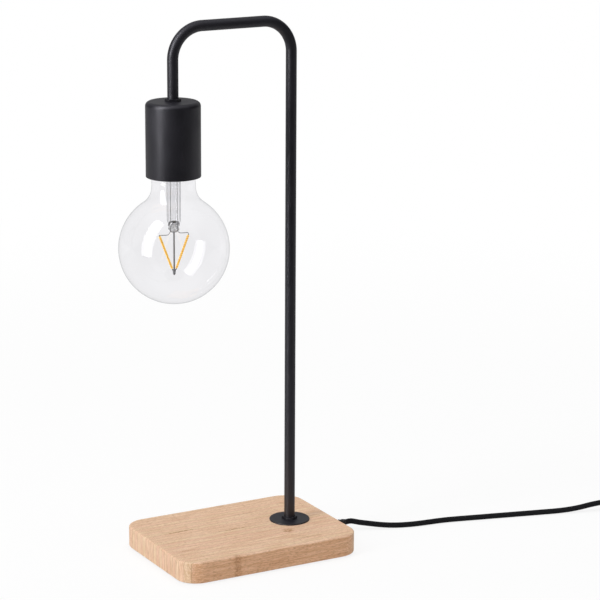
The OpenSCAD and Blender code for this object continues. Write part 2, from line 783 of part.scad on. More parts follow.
// Spring tongue: a strap through the block, a foot under it and an arm to the middle
module centre_contact() {
    low = contact_z + contact_gap;
    color(brass) translate([bulb_x, 0, 0]) rotate([0, 0, 90]) rotate([90, 0, 0])
        translate([0, 0, -strap_w / 2]) linear_extrude(strap_w)
            polygon([
                [strap_y - strap_t / 2, block_top + terminal_h - 0.5],
                [strap_y + strap_t / 2, block_top + terminal_h - 0.5],
                [strap_y + strap_t / 2, block_z - strap_t - 0.1],
                [5.5, block_z - strap_t - 0.1], [1.5, low], [-1.5, low], [-2.5, low + strap_t + 0.3],
                [-2, low + strap_t + 0.6], [-1, low + strap_t], [1.2, low + strap_t],
                [5.2, block_z - 0.1], [strap_y - strap_t / 2, block_z - 0.1]
            ]);
}

// Strip from the screw shell's upper edge through the block to its terminal
module neutral_strap() {
    reach = holder_major_r + shell_t - 0.2;
    color(brass) translate([bulb_x, 0, 0]) rotate([0, 0, -90]) rotate([90, 0, 0])
        translate([0, 0, -strap_w / 2]) linear_extrude(strap_w)
            polygon([
                [strap_y - strap_t / 2, block_top + terminal_h - 0.5],
                [strap_y + strap_t / 2, block_top + terminal_h - 0.5],
                [strap_y + strap_t / 2, block_z - 0.05], [reach, block_z - 0.05],
                [reach, block_z - 0.28], [strap_y - strap_t / 2, block_z - 0.28]
            ]);
}

module terminals() {
    w = 5.2;
    color(brass) translate([bulb_x, 0, block_top]) for (side = [-1, 1]) difference() {
        translate([-w / 2, side * terminal_y - w / 2, 0]) cube([w, w, terminal_h]);
        translate([0, side * terminal_y, 1]) cylinder(r = core_r + 0.1, h = terminal_h, $fn = 32);
        translate([-w, side * terminal_y, terminal_h / 2 + 0.4]) rotate([0, 90, 0])
            cylinder(r = 1.3, h = w - core_r - 0.1, $fn = 32);
    }
}

module terminal_screws() {
    w = 5.2;
    color(steel) for (side = [-1, 1])
        translate([bulb_x - w / 2 - 1.8, side * terminal_y, block_top + terminal_h / 2 + 0.4])
            rotate([0, 90, 0]) difference() {
                union() {
                    cylinder(r = 2.1, h = 1.6, $fn = 32);
                    cylinder(r = 1.25, h = 1.8 + w / 2 - core_r - 0.2, $fn = 32);
                }
                translate([-0.3, -3, -cut]) cube([0.6, 6, cut + 0.8]);
            }
}

// ---- Bulb ----

// Outline of the glass, moved inwards by o, from the bottom of the globe to the seal in the cap
function glass_line(o) = concat(
    arc([0, globe_z], globe_r - o, -90, fillet_angle),
    reverse(arc([fillet_x, globe_z + fillet_rise], neck_fillet_r + o, 180, 180 + fillet_angle)),
    arc([seal_r, shoulder_z], neck_r - seal_r - o, 0, 90)
);

module bulb_glass() {
    outer = glass_line(0);
    inner = [for (q = glass_line(glass_t)) [max(q.x, 0), q.y]];
    color(clear) translate([bulb_x, 0, 0]) rotate_extrude()
        polygon(concat(
            outer, [[seal_r, seal_z], [seal_r - glass_t, seal_z]],
            [for (q = reverse(inner)) [q.y > shoulder_z ? min(q.x, neck_r) : q.x, q.y]]
        ));
}

// Stem: a flare sealed to the glass, a tube, and the flat pinch that holds the wires
module bulb_stem() {
    wall = 1;
    flare = 4;
    narrowing = 1.4;
    pinch_t = 4.8;
    color(clear) translate([bulb_x, 0, 0]) {
        rotate_extrude() polygon(concat(
            [[seal_r - 0.1, seal_z + wall], [seal_r - 0.1, seal_z]],
            arc([stem_r + flare, seal_z - flare], flare, 90, 180),
            [[stem_r, pinch_z + pinch_l + 3], [stem_r - narrowing, pinch_z + pinch_l],
             [stem_r - narrowing - wall, pinch_z + pinch_l], [stem_r - wall, pinch_z + pinch_l + 3.4]],
            reverse(arc([stem_r + flare, seal_z - flare], flare + wall, 90, 180))
        ));
        intersection() {
            translate([0, 0, pinch_z]) cylinder(r = stem_r - narrowing, h = pinch_l);
            rotate([0, 0, filament_turn]) translate([-stem_r, -pinch_t / 2, pinch_z - cut])
                cube([2 * stem_r, pinch_t, pinch_l + 2 * cut]);
        }
    }
}

module exhaust_tube() {
    color(clear) translate([bulb_x, 0, pinch_z + pinch_l]) difference() {
        cylinder(r = 1.9, h = seal_z - pinch_z - pinch_l + 8, $fn = 48);
        translate([0, 0, 1]) cylinder(r = 1.2, h = seal_z - pinch_z - pinch_l + 5.5, $fn = 48);
    }
}

module support_rod() {
    color(steel) translate([bulb_x, 0, filament_low])
        cylinder(r = 0.7, h = pinch_z - filament_low, $fn = 32);
}

// Lower end of a filament on the given side, its upper end, and the way up between them
filament_foot = 0.9 + filament_d / 2;
function filament_start(side) = [side * filament_foot, 0, filament_low + 1.2];
function filament_end(side) = [side * filament_spread, 0, filament_top];
function filament_way(side) = unit(filament_end(side) - filament_start(side));

// Sleeve on the rod's tip, with a tab up to each filament
module filament_sleeve() {
    tab_l = 2.6;
    color(steel) translate([bulb_x, 0, 0]) rotate([0, 0, filament_turn]) {
        translate([0, 0, rod_tip]) rotate_extrude($fn = 32)
            polygon([
                [0, 0], [0.7, 0.6], [1.2, 1.4], [1.2, filament_low - rod_tip], [0, filament_low - rod_tip]
            ]);
        for (side = [-1, 1])
            rod(filament_start(side) - tab_l * filament_way(side), filament_start(side), 0.4);
    }
}

module filaments() {
    color(amber) translate([bulb_x, 0, 0]) rotate([0, 0, filament_turn])
        for (side = [-1, 1]) rod(filament_start(side), filament_end(side), filament_d / 2);
}

// The two wires: up through the stem, and out of the pinch to the filaments' upper ends
module filament_wires() {
    wire_r = 0.35;
    rises = [0.9, 2.2];
    color(steel) translate([bulb_x, 0, 0]) rotate([0, 0, filament_turn])
        for (i = [0, 1]) {
            side = 2 * i - 1;
            high = filament_top + rises[i];
            rod([side * stem_wire_x, 0, pinch_z + pinch_l], [side * stem_wire_x, 0, seal_z + 4], wire_r);
            swept_tube([
                [side * stem_wire_x, 0, pinch_z], [side * stem_wire_x, 0, pinch_z - 0.6],
                [side * (stem_wire_x + 2), 0, high], [side * (filament_spread - 0.6), 0, high],
                filament_end(side) + 0.8 * filament_way(side), filament_end(side)
            ], wire_r, 8, [0, 1, 0]);
        }
}

module bulb_cap() {
    plain_r = edison_d / 2;
    color(nickel) screw_shell(concat(
        [[shell_rim, plain_r + 0.3, 0], [shell_rim + 0.8, plain_r, 0], [thread_low - 0.8, plain_r, 0]],
        thread_rows(thread_low, thread_high, cap_minor_r, edison_depth, true),
        [[thread_high + 0.5, cap_minor_r - 0.6, 0], [shell_top, cap_minor_r - 3, 0]]
    ), shell_t, true);
}

module cap_insulator() {
    color([0.12, 0.10, 0.16]) translate([bulb_x, 0, shell_top]) rotate_extrude()
        polygon([[0, 0], [cap_minor_r - 3, 0], [button_r + 0.6, insulator_t], [0, insulator_t]]);
}

module cap_contact() {
    color(nickel) translate([bulb_x, 0, contact_z - button_t]) rotate_extrude()
        polygon([
            [0, 0], [button_r, 0], [button_r, button_t - 0.6], [button_r - 0.8, button_t], [0, button_t]
        ]);
}

board_y = 3.2;
board_t = 1;

module driver_board() {
    color([0.10, 0.38, 0.22]) translate([bulb_x - 7.5, board_y, seal_z + 2]) cube([15, board_t, 14]);
}

module driver_parts() {
    color([0.15, 0.15, 0.17]) translate([bulb_x, board_y + board_t, seal_z + 2]) {
        translate([-3, 2.6, 4]) cylinder(r = 2.5, h = 8, $fn = 48);
        translate([2, 0, 6]) cube([4.5, 2.4, 5]);
        translate([1, 0, 1.5]) cube([5, 1.4, 2.5]);
    }
}

// ---- Cord, switch and plug ----

module cord_to_switch() {
    start = [relief_tip, 0, exit_z];
    color(textile) swept_tube(concat(
        [start, start + [square_end, 0, 0]],
        route_to_switch,
        [switch_in - square_end * switch_dir, switch_in]
    ), cord_r, stretch_sides);
}

module cord_to_coil() {
    color(textile) swept_tube(concat(
        [switch_out, switch_out + square_end * switch_dir], route_to_coil, [coil_start(), coil_path()[0]]
    ), cord_r, stretch_sides);
}

module cord_to_plug() {
    last = coil_path()[len(coil_path()) - 1];
    color(textile) swept_tube(concat(
        [last, last + [0, square_end, 0]], route_to_plug, [plug_in + [0, square_end, 0], plug_in]
    ), cord_r, stretch_sides);
}

// A point one lead-in before the coil's first ring
function coil_start() = coil_path()[0] - [0, square_end / 2, 0];

// The coil spirals in on the table and out again above itself, and climbs in the half turn round
// its smallest loop. Its two ends run straight for one diameter.
function coil_point(turn) =
    let (half = coil_turns / 2, climb = min(1, max(0, turn - half + 0.25) / 0.5))
    let (r = coil_min_r + coil_pitch * abs(turn - half), a = 360 * turn)
    [coil_at.x + r * cos(a), coil_at.y + r * sin(a), coil_z + coil_layer * climb];

function coil_path() =
    let (wound = [for (i = [0:coil_turns * loop_rings]) coil_point(i / loop_rings)])
    let (last = wound[len(wound) - 1])
    concat([wound[0] - [0, cord_d, 0]], wound, [last + [0, cord_d, 0]]);

// Least gap between turns of the coil, measured between ring centres
function coil_gap() =
    let (p = coil_path(), far = loop_rings / 2)
    min([for (i = [0:len(p) - far - 1], j = [i + far:len(p) - 1]) norm(p[i] - p[j])]) - cord_d;

module cord_coil() {
    color(textile) swept_tube(coil_path(), cord_r, coil_sides);
    echo(least_gap_of_coil = coil_gap());
}

// Flat strap round the bundle of turns
module coil_tie() {
    in_r = coil_min_r - cord_r - 0.5;
    out_r = coil_r + cord_r + 0.5;
    high = coil_z + coil_layer + cord_r + 0.1;
    color([0.2, 0.2, 0.2]) translate([coil_at.x - out_r - tie_t, coil_at.y - tie_w / 2, 0]) difference() {
        cube([out_r - in_r + 2 * tie_t, tie_w, high + tie_t]);
        translate([tie_t, -cut, tie_t]) cube([out_r - in_r, tie_w + 2 * cut, high - tie_t]);
    }
}

// Places a piece of the switch, drawn with the cord along X and the table at z = 0
module at_switch() {
    translate([switch_at.x, switch_at.y, 0]) rotate([0, 0, switch_turn]) children();
}

// Both shells before they are parted
module switch_body() {
    difference() {
        soft_plate(switch_l, switch_w, switch_h, switch_corner_r, switch_edge_r);
        translate([0, 0, switch_wall])
            plain_plate(switch_l - 2 * switch_wall, switch_w - 2 * switch_wall, switch_h - 2 * switch_wall,
                switch_corner_r - switch_wall);
        translate([-switch_l, 0, switch_joint_h]) rotate([0, 90, 0])
            cylinder(r = relief_d / 2 - 0.8, h = 2 * switch_l);
    }
}

screw_spots = [[-1, -1], [1, 1]];
screw_x = 20;
screw_y = 8;

module switch_base() {
    color(moulded) at_switch() difference() {
        intersection() {
            switch_body();
            translate([-switch_l, -switch_w, 0]) cube([2 * switch_l, 2 * switch_w, switch_joint_h - 0.02]);
        }
        for (s = screw_spots) translate([s.x * screw_x, s.y * screw_y, 0]) {
            translate([0, 0, -cut]) cylinder(r = 1.5, h = switch_joint_h, $fn = 32);
            translate([0, 0, -0.1]) cylinder(r1 = 2.9, r2 = 1.4, h = 1.5, $fn = 32);
        }
    }
}

module switch_cover() {
    open_l = rocker_l + 2 * rocker_gap;
    open_w = rocker_w + 2 * rocker_gap;
    color(moulded) at_switch() difference() {
        union() {
            intersection() {
                switch_body();
                translate([-switch_l, -switch_w, switch_joint_h + 0.02])
                    cube([2 * switch_l, 2 * switch_w, switch_h]);
            }
            for (side = [-1, 1])
                translate([-3, side * (open_w / 2 + cheek_t / 2) - cheek_t / 2, pivot_z - 3])
                    cube([6, cheek_t, switch_h - switch_wall - pivot_z + 3.5]);
            for (s = screw_spots)
                translate([s.x * screw_x, s.y * screw_y, switch_wall + 0.5])
                    cylinder(r = 2.6, h = switch_h - 2 * switch_wall, $fn = 32);
        }
        translate([-open_l / 2, -open_w / 2, switch_joint_h]) cube([open_l, open_w, switch_h]);
        translate([0, open_w, pivot_z]) rotate([90, 0, 0])
            cylinder(r = pivot_pin_r + 0.02, h = 2 * open_w, $fn = 32);
        for (s = screw_spots)
            translate([s.x * screw_x, s.y * screw_y, 0]) cylinder(r = 1.1, h = switch_joint_h + 5, $fn = 32);
    }
}

// Turns a piece of the rocker about the pin, into the position with its cord end down
module at_pivot() {
    at_switch() translate([0, 0, pivot_z]) rotate([0, -rocker_tilt, 0]) children();
}

module switch_rocker() {
    end_r = rocker_l / 2;
    end_a = 20;
    color([0.06, 0.06, 0.06]) at_pivot() rotate([90, 0, 0]) difference() {
        translate([0, 0, -rocker_w / 2]) linear_extrude(rocker_w) polygon(concat(
            [[-4, -3], [4, -3]], arc([0, 0], end_r, -6, end_a), [[0, end_r * sin(end_a) - 1.2]],
            arc([0, 0], end_r, 180 - end_a, 186)
        ));
        translate([0, 0, -rocker_w]) cylinder(r = pivot_pin_r + 0.05, h = 2 * rocker_w, $fn = 32);
    }
}

module switch_contact_bar() {
    color(brass) at_pivot() translate([0, 0, -3.8]) {
        translate([-6, -2, 0]) cube([12, 4, 0.8]);
        for (side = [-1, 1]) translate([side * 4.6, 0, -0.6]) cylinder(r = 1.2, h = 0.6, $fn = 32);
    }
}

module switch_pin() {
    l = rocker_w + 2 * rocker_gap + 2 * cheek_t;
    color(steel) at_switch() translate([0, l / 2, pivot_z]) rotate([90, 0, 0])
        cylinder(r = pivot_pin_r, h = l, $fn = 32);
}

// Two blocks for the cut core and a contact strip from each towards the rocker
module switch_terminals() {
    tip_z = pivot_z - 3.8 - 0.6 - 6 * sin(rocker_tilt) - 0.4;
    color(brass) at_switch() for (side = [-1, 1]) {
        translate([side * 13 - 2.5, -2.5, switch_wall + 0.4]) cube([5, 5, tip_z - switch_wall - 0.9]);
        translate([side * 9.5 - 6, -2.5, tip_z - 0.5]) cube([12, 5, 0.5]);
    }
}

// The cord's cores in the switch: one runs through, the other ends at the two blocks
module switch_cores() {
    wire_r = 0.9;
    low_z = switch_wall + 1.4;
    entry_x = switch_l / 2 - 4.3;
    entry_y = 1.1;
    entry_z = switch_joint_h - 1;
    half_way = [[12, -6.5, low_z], [18, -4, low_z], [entry_x, -entry_y, entry_z]];
    bypass = concat(reverse([for (q = half_way) [-q.x, q.y, q.z]]), half_way);
    color([0.45, 0.27, 0.14]) at_switch() {
        for (side = [-1, 1])
            rod([side * entry_x, entry_y, entry_z], [side * 15.6, 0.5, low_z + 1.5], wire_r);
        swept_tube(bypass, wire_r, 8);
    }
}

module switch_screws() {
    color(steel) at_switch() for (s = screw_spots)
        translate([s.x * screw_x, s.y * screw_y, 0.3]) flat_head_screw(2.4, 1.05, switch_joint_h + 3.5);
}

// Strain relief at one end of the switch: a collar inside the wall and a tapered sleeve outside
module switch_relief(side) {
    neck_r = relief_d / 2 - 0.8 - 0.04;
    color(moulded) at_switch() translate([0, 0, switch_joint_h]) rotate([0, 0, side > 0 ? 0 : 180])
        translate([switch_l / 2, 0, 0]) {
            translate([-switch_wall - 0.1, 0, 0]) rotate([0, 90, 0])
                ring(neck_r, cord_r + fit, switch_wall + 0.1);
            relief_sleeve(switch_relief_l, relief_d, cord_d + 1.2, 5);
            translate([-switch_wall - 1.6, 0, 0]) rotate([0, 90, 0])
                ring(relief_d / 2 + 0.4, cord_r + fit, 1.5);
            translate([-4, 0, 0]) rotate([0, 90, 0]) cylinder(r = cord_r, h = 4 + switch_relief_l);
        }
}

module switch_relief_in() {
    switch_relief(-1);
}

module switch_relief_out() {
    switch_relief(1);
}

// Places a piece of the plug, drawn with its pins along +X from x = 0, lying flat on the table
module at_plug() {
    translate([plug_at.x, plug_at.y, plug_axis_z]) rotate([0, 0, -90]) children();
}

module plug_body() {
    rear_w = 13;
    waist = plug_l * 0.45;
    color(moulded) at_plug() difference() {
        hull() {
            plug_slice(-1, plug_w, plug_t);
            plug_slice(-waist, plug_w - 5, plug_t);
            plug_slice(-plug_l, rear_w, plug_t - 2.6);
        }
        for (side = [-1, 1])
            translate([-pin_root_l, side * pin_gap / 2, 0]) rotate([0, 90, 0])
                cylinder(r = pin_core_r + 0.02, h = pin_root_l + cut);
    }
}

// Thin upright slice of the plug's body, with rounded corners
module plug_slice(x, w, t) {
    r = 3.4;
    translate([x, 0, 0]) rotate([90, 0, 90]) linear_extrude(1)
        for (side_y = [-1, 1], side_z = [-1, 1])
            translate([side_y * (w / 2 - r), side_z * (t / 2 - r)]) circle(r, $fn = 32);
}

module plug_pins() {
    pin_r = pin_d / 2;
    tip = 1;
    color(nickel) at_plug() for (side = [-1, 1])
        translate([-pin_root_l, side * pin_gap / 2, 0]) rotate([0, 90, 0]) rotate_extrude($fn = 48)
            polygon(concat(
                [[0, 0], [pin_core_r, 0], [pin_core_r, pin_root_l + pin_sleeve_l],
                 [pin_r, pin_root_l + pin_sleeve_l]],
                arc([pin_r - tip, pin_root_l + pin_l - tip], tip, 0, 90), [[0, pin_root_l + pin_l]]
            ));
}

module pin_sleeves() {
    color(moulded) at_plug() for (side = [-1, 1])
        translate([0, side * pin_gap / 2, 0]) rotate([0, 90, 0])
            ring(pin_sleeve_d / 2, pin_core_r + 0.02, pin_sleeve_l, $fn = 48);
}

module plug_relief() {
    color(moulded) at_plug() translate([-plug_l, 0, 0]) rotate([0, 0, 180]) {
        relief_sleeve(plug_relief_l, 9.2, cord_d + 1.2, 6);
        rotate([0, 90, 0]) cylinder(r = cord_r, h = plug_relief_l);
    }
}

base_block();
ballast_plate();
ballast_screws();
floor_pad();
post_flange();
foot_nut();
clamp_washer();
clamp_nut();
cord_clamp();
cord_clamp_screws();
cord_relief();
base_cord();
lead_live();
lead_neutral();
lamp_tube();
cup_nut();
socket_cup();
tooth_washer();
cup_inner_nut();
holder_cap();
holder_skirt();
contact_block();
holder_shell();
centre_contact();
neutral_strap();
terminals();
terminal_screws();
bulb_glass();
bulb_stem();
exhaust_tube();
support_rod();
filament_sleeve();
filaments();
filament_wires();
bulb_cap();
cap_insulator();
cap_contact();
driver_board();
driver_parts();
cord_to_switch();
switch_base();
switch_cover();
switch_rocker();
switch_pin();
switch_contact_bar();
switch_terminals();
switch_cores();
switch_screws();
switch_relief_in();
switch_relief_out();
cord_to_coil();
cord_coil();
coil_tie();
cord_to_plug();
plug_body();
plug_pins();
pin_sleeves();
plug_relief();
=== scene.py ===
"""Table lamp with a bare globe bulb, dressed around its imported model.

Metres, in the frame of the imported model: the table is z = 0, the origin is under the middle of
the wooden base, and +X runs along the base towards the post and the cord.
"""
import json
import logging
import math
import random
from dataclasses import dataclass, field
from enum import Enum

import bmesh
import bpy
from mathutils import Matrix, Vector

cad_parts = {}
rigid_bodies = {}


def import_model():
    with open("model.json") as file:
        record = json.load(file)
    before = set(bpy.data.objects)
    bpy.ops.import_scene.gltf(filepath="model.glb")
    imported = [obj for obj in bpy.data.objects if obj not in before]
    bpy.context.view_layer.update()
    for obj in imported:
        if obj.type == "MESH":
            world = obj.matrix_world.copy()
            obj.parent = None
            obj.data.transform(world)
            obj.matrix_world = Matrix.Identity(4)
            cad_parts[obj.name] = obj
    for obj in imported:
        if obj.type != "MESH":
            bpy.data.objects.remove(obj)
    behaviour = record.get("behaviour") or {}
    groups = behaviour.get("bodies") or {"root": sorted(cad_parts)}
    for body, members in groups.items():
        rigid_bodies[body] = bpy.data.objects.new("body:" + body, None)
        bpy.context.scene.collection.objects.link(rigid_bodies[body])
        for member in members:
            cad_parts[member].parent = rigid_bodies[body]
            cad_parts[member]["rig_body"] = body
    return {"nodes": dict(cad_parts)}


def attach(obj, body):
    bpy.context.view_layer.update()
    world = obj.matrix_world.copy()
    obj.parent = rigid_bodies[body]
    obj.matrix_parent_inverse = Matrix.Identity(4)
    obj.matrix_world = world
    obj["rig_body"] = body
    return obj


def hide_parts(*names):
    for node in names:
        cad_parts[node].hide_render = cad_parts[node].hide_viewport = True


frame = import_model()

LOG = logging.getLogger("lamp")
MM = 0.001
Material = bpy.types.Material
Node = bpy.types.Node
Piece = bpy.types.Object
Socket = bpy.types.NodeSocket
Point = tuple[float, float, float]
Color = tuple[float, float, float]
Value = float | Point | Socket
BULB_X = -0.0645
SWITCH_AT: Point = (0.402, -0.081, 0.0075)
SWITCH_TURN = math.radians(-15)
BRAID_CARRIERS = 8
BRAID_STRAND = 0.00196
BEHIND = (0.489, 0.872)
WHITE: Color = (1.0, 1.0, 1.0)


# ---- Paths and meshes ----


def metres(points: list[Point]) -> list[Vector]:
    """Returns points given in millimetres as vectors in metres."""
    return [Vector(p) * MM for p in points]


def smooth_path(points: list[Vector], step: float) -> list[Vector]:
    """Draws one smooth curve through all the points.

    Args:
        points: the points that the curve passes through, in order.
        step: the distance between two points of the result.

    Returns:
        Evenly spaced points along a centripetal Catmull-Rom curve.
    """
    ends = [2 * points[0] - points[1], *points, 2 * points[-1] - points[-2]]
    dense: list[Vector] = []
    for a, b, c, d in zip(ends, ends[1:], ends[2:], ends[3:]):
        t1 = (b - a).length ** 0.5
        t2 = t1 + (c - b).length ** 0.5
        t3 = t2 + (d - c).length ** 0.5
        for i in range(16):
            t = t1 + (t2 - t1) * i / 16
            ab = a * ((t1 - t) / t1) + b * (t / t1)
            bc = b * ((t2 - t) / (t2 - t1)) + c * ((t - t1) / (t2 - t1))
            cd = c * ((t3 - t) / (t3 - t2)) + d * ((t - t2) / (t3 - t2))
            abc = ab * ((t2 - t) / t2) + bc * (t / t2)
            bcd = bc * ((t3 - t) / (t3 - t1)) + cd * ((t - t1) / (t3 - t1))
            dense.append(abc * ((t2 - t) / (t2 - t1)) + bcd * ((t - t1) / (t2 - t1)))
    dense.append(points[-1].copy())
    return evenly_spaced(dense, step)


def evenly_spaced(points: list[Vector], step: float) -> list[Vector]:
    """Spaces points evenly along the same line.

    Args:
        points: the line's points, in order.
        step: about how far apart the new points are.

    Returns:
        The new points, at equal distances.
    """
    along = [0.0]
    for a, b in zip(points, points[1:]):
        along.append(along[-1] + (b - a).length)
    count = max(1, round(along[-1] / step))
    result, k = [], 0
    for i in range(count + 1):
        goal = along[-1] * i / count
        while k < len(points) - 2 and along[k + 1] < goal:
            k += 1
        span = along[k + 1] - along[k]
        result.append(points[k].lerp(points[k + 1], (goal - along[k]) / span if span else 0.0))
    return result


def path_length(points: list[Vector]) -> float:
    """Returns the length of the line through the points."""
    return sum((b - a).length for a, b in zip(points, points[1:]))


def mesh_piece(name: str, verts: list[Point], faces: list[tuple[int, ...]],
               loops_uv: list[tuple[float, float]] | None = None, smooth: bool = True) -> Piece:
    """Makes an object at the origin from plain mesh data.

    Args:
        name: the piece's name.
        verts: its points.
        faces: point numbers of each face, outside seen anticlockwise.
        loops_uv: one UV pair for each corner of each face, in order.
        smooth: whether its faces are shaded smooth.

    Returns:
        The new object, linked to the scene.
    """
    mesh = bpy.data.meshes.new(name)
    mesh.from_pydata([tuple(v) for v in verts], [], faces)
    if loops_uv:
        layer = mesh.uv_layers.new(name="UVMap")
        for loop, uv in zip(layer.data, loops_uv):
            loop.uv = uv
    mesh.polygons.foreach_set("use_smooth", [smooth] * len(mesh.polygons))
    mesh.update()
    obj = bpy.data.objects.new(name, mesh)
    bpy.context.scene.collection.objects.link(obj)
    return obj


def braid_height(turn: float, far: float) -> float:
    """Works out how high the braid of a textile cord stands.

    Args:
        turn: the place round the cord, in turns.
        far: the place along the cord.

    Returns:
        The height, from 0 between two strands to 1 on top of one.
    """
    round_it, along = turn * BRAID_CARRIERS, far / BRAID_STRAND
    left, right = round_it + along, round_it - along
    over = (math.floor(left) + math.floor(right)) % 2
    return math.sin(math.pi * (left % 1.0)) if over else math.sin(math.pi * (right % 1.0))


def swept_tube(name: str, path: list[Vector], radius: float, sides: int,
               braid: float = 0.0) -> Piece:
    """Makes a closed round tube along a path, with its UV in real length.

    Args:
        name: the piece's name.
        path: the points of its centre line.
        radius: its radius.
        sides: how many faces go round it.
        braid: how deep the grooves between the strands of its braid are.

    Returns:
        The new object. Its UV has turns round the tube across and metres along the tube up.
    """
    ways = [(b - a).normalized() for a, b in zip(path, path[1:])]
    heads = [ways[0], *((a + b).normalized() for a, b in zip(ways, ways[1:])), ways[-1]]
    side = heads[0].orthogonal()
    verts, along, far = [], [], 0.0
    for i, (point, head) in enumerate(zip(path, heads)):
        far += (point - path[i - 1]).length if i else 0.0
        along.append(far)
        side = (side - head * side.dot(head)).normalized()
        lift = head.cross(side)
        for k in range(sides):
            a = math.tau * k / sides
            r = radius - braid * (1 - braid_height(k / sides, far)) if braid else radius
            verts.append(point + r * (math.cos(a) * side + math.sin(a) * lift))
    faces, uvs = [], []
    for i in range(len(path) - 1):
        for k in range(sides):
            n = (k + 1) % sides
            faces.append((i * sides + k, i * sides + n, (i + 1) * sides + n, (i + 1) * sides + k))
            u0, u1 = k / sides, (k + 1) / sides
            uvs += [(u0, along[i]), (u1, along[i]), (u1, along[i + 1]), (u0, along[i + 1])]
    last = (len(path) - 1) * sides
    faces.append(tuple(reversed(range(sides))))
    uvs += [(0.0, 0.0)] * sides
    faces.append(tuple(range(last, last + sides)))
    uvs += [(0.0, far)] * sides
    return mesh_piece(name, verts, faces, uvs)


def paint(red: int, green: int, blue: int) -> Color:
    """Returns a colour given in screen values from 0 to 255 as linear light."""
    shares = (v / 255 for v in (red, green, blue))
    return tuple(v / 12.92 if v <= 0.04045 else ((v + 0.055) / 1.055) ** 2.4 for v in shares)


def arc(centre: tuple[float, float], radius: float, first: float, last: float,
        steps: int) -> list[tuple[float, float]]:
    """Draws an arc in the plane.

    Args:
        centre: its centre.
        radius: its radius.
        first: the angle at which it starts, in degrees.
        last: the angle at which it ends, in degrees.
        steps: how many straight steps it has.

    Returns:
        Its points, one more than its steps.
    """
    turns = (math.radians(first + (last - first) * i / steps) for i in range(steps + 1))
    return [(centre[0] + radius * math.cos(a), centre[1] + radius * math.sin(a)) for a in turns]


def lathe(name: str, outline: list[tuple[float, float]], centre: tuple[float, float],
          sides: int = 96, closed: bool = True) -> Piece:
    """Turns an outline about an upright axis.

    Args:
        name: the piece's name.
        outline: points (radius, height), with the solid on the left of the line.
        centre: where the axis stands.
        sides: how many faces go round.
        closed: whether the last point joins the first.

    Returns:
        The new object. A point on the axis becomes one pole.
    """
    verts: list[Point] = []
    rings: list[list[int]] = []
    for r, z in outline:
        if r < 1e-7:
            verts.append((centre[0], centre[1], z))
            rings.append([len(verts) - 1] * sides)
            continue
        rings.append(list(range(len(verts), len(verts) + sides)))
        turns = (math.tau * k / sides for k in range(sides))
        verts += [(centre[0] + r * math.cos(a), centre[1] + r * math.sin(a), z) for a in turns]
    faces = []
    pairs = list(zip(rings, rings[1:])) + ([(rings[-1], rings[0])] if closed else [])
    for low, high in pairs:
        for k in range(sides):
            n = (k + 1) % sides
            corners = list(dict.fromkeys((low[k], low[n], high[n], high[k])))
            if len(corners) > 2:
                faces.append(tuple(corners))
    return mesh_piece(name, verts, faces)


def join_pieces(name: str, pieces: list[Piece]) -> Piece:
    """Puts the meshes of several objects into one new object.

    Args:
        name: the new object's name.
        pieces: the objects, which are removed.

    Returns:
        The new object, without a material.
    """
    whole = bmesh.new()
    for piece in pieces:
        whole.from_mesh(piece.data)
        bpy.data.objects.remove(piece)
    mesh = bpy.data.meshes.new(name)
    whole.to_mesh(mesh)
    whole.free()
    obj = bpy.data.objects.new(name, mesh)
    bpy.context.scene.collection.objects.link(obj)
    return obj


def join_kept(name: str, pieces: list[Piece]) -> Piece:
    """Joins objects into one and keeps the material of each face.

    Args:
        name: the new object's name.
        pieces: the objects, which are removed.

    Returns:
        The new object.
    """
    verts: list[Point] = []
    faces: list[tuple[int, ...]] = []
    slots: list[int] = []
    materials: list[Material] = []
    for piece in pieces:
        base = len(verts)
        verts += [tuple(v.co) for v in piece.data.vertices]
        for face in piece.data.polygons:
            faces.append(tuple(base + i for i in face.vertices))
            material = piece.data.materials[face.material_index]
            if material not in materials:
                materials.append(material)
            slots.append(materials.index(material))
        bpy.data.objects.remove(piece)
    whole = mesh_piece(name, verts, faces)
    for material in materials:
        whole.data.materials.append(material)
    whole.data.polygons.foreach_set("material_index", slots)
    whole.data.set_sharp_from_angle(angle=math.radians(50))
    return whole


def soft_copy(name: str, node: str, angle: float = 28.0) -> Piece:
    """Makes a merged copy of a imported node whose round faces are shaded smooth.

    Args:
        name: the new piece's name.
        node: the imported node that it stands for.
        angle: edges sharper than this many degrees stay sharp.

    Returns:
        The copy, which replaces the node and rides on the node's body.
    """
    source = frame["nodes"][node]
    mesh = source.data.copy()
    mesh.name = name
    work = bmesh.new()
    work.from_mesh(mesh)
    bmesh.ops.remove_doubles(work, verts=work.verts, dist=2e-6)
    bmesh.ops.dissolve_degenerate(work, edges=work.edges, dist=1e-7)
    bmesh.ops.dissolve_limit(work, verts=work.verts, edges=work.edges, angle_limit=math.radians(0.4))
    work.to_mesh(mesh)
    work.free()
    mesh.polygons.foreach_set("use_smooth", [True] * len(mesh.polygons))
    mesh.set_sharp_from_angle(angle=math.radians(angle))
    obj = bpy.data.objects.new(name, mesh)
    bpy.context.scene.collection.objects.link(obj)
    weigh = obj.modifiers.new("weigh", "WEIGHTED_NORMAL")
    weigh.keep_sharp = True
    weigh.weight = 100
    flatten_modifiers(obj)
    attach(obj, source["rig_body"])
    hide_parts(node)
    return obj


def flatten_modifiers(obj: Piece) -> None:
    """Turns the result of an object's modifiers into its own plain mesh.

    Args:
        obj: the object, which is left without modifiers.
    """
    graph = bpy.context.evaluated_depsgraph_get()
    mesh = bpy.data.meshes.new_from_object(obj.evaluated_get(graph), depsgraph=graph)
    obj.modifiers.clear()
    obj.data = mesh


def dress(obj: Piece, material: Material) -> Piece:
    """Gives one material to the whole of an object.

    Args:
        obj: the object.
        material: its new and only material.

    Returns:
        The same object.
    """
    obj.data.materials.clear()
    obj.data.materials.append(material)
    return obj


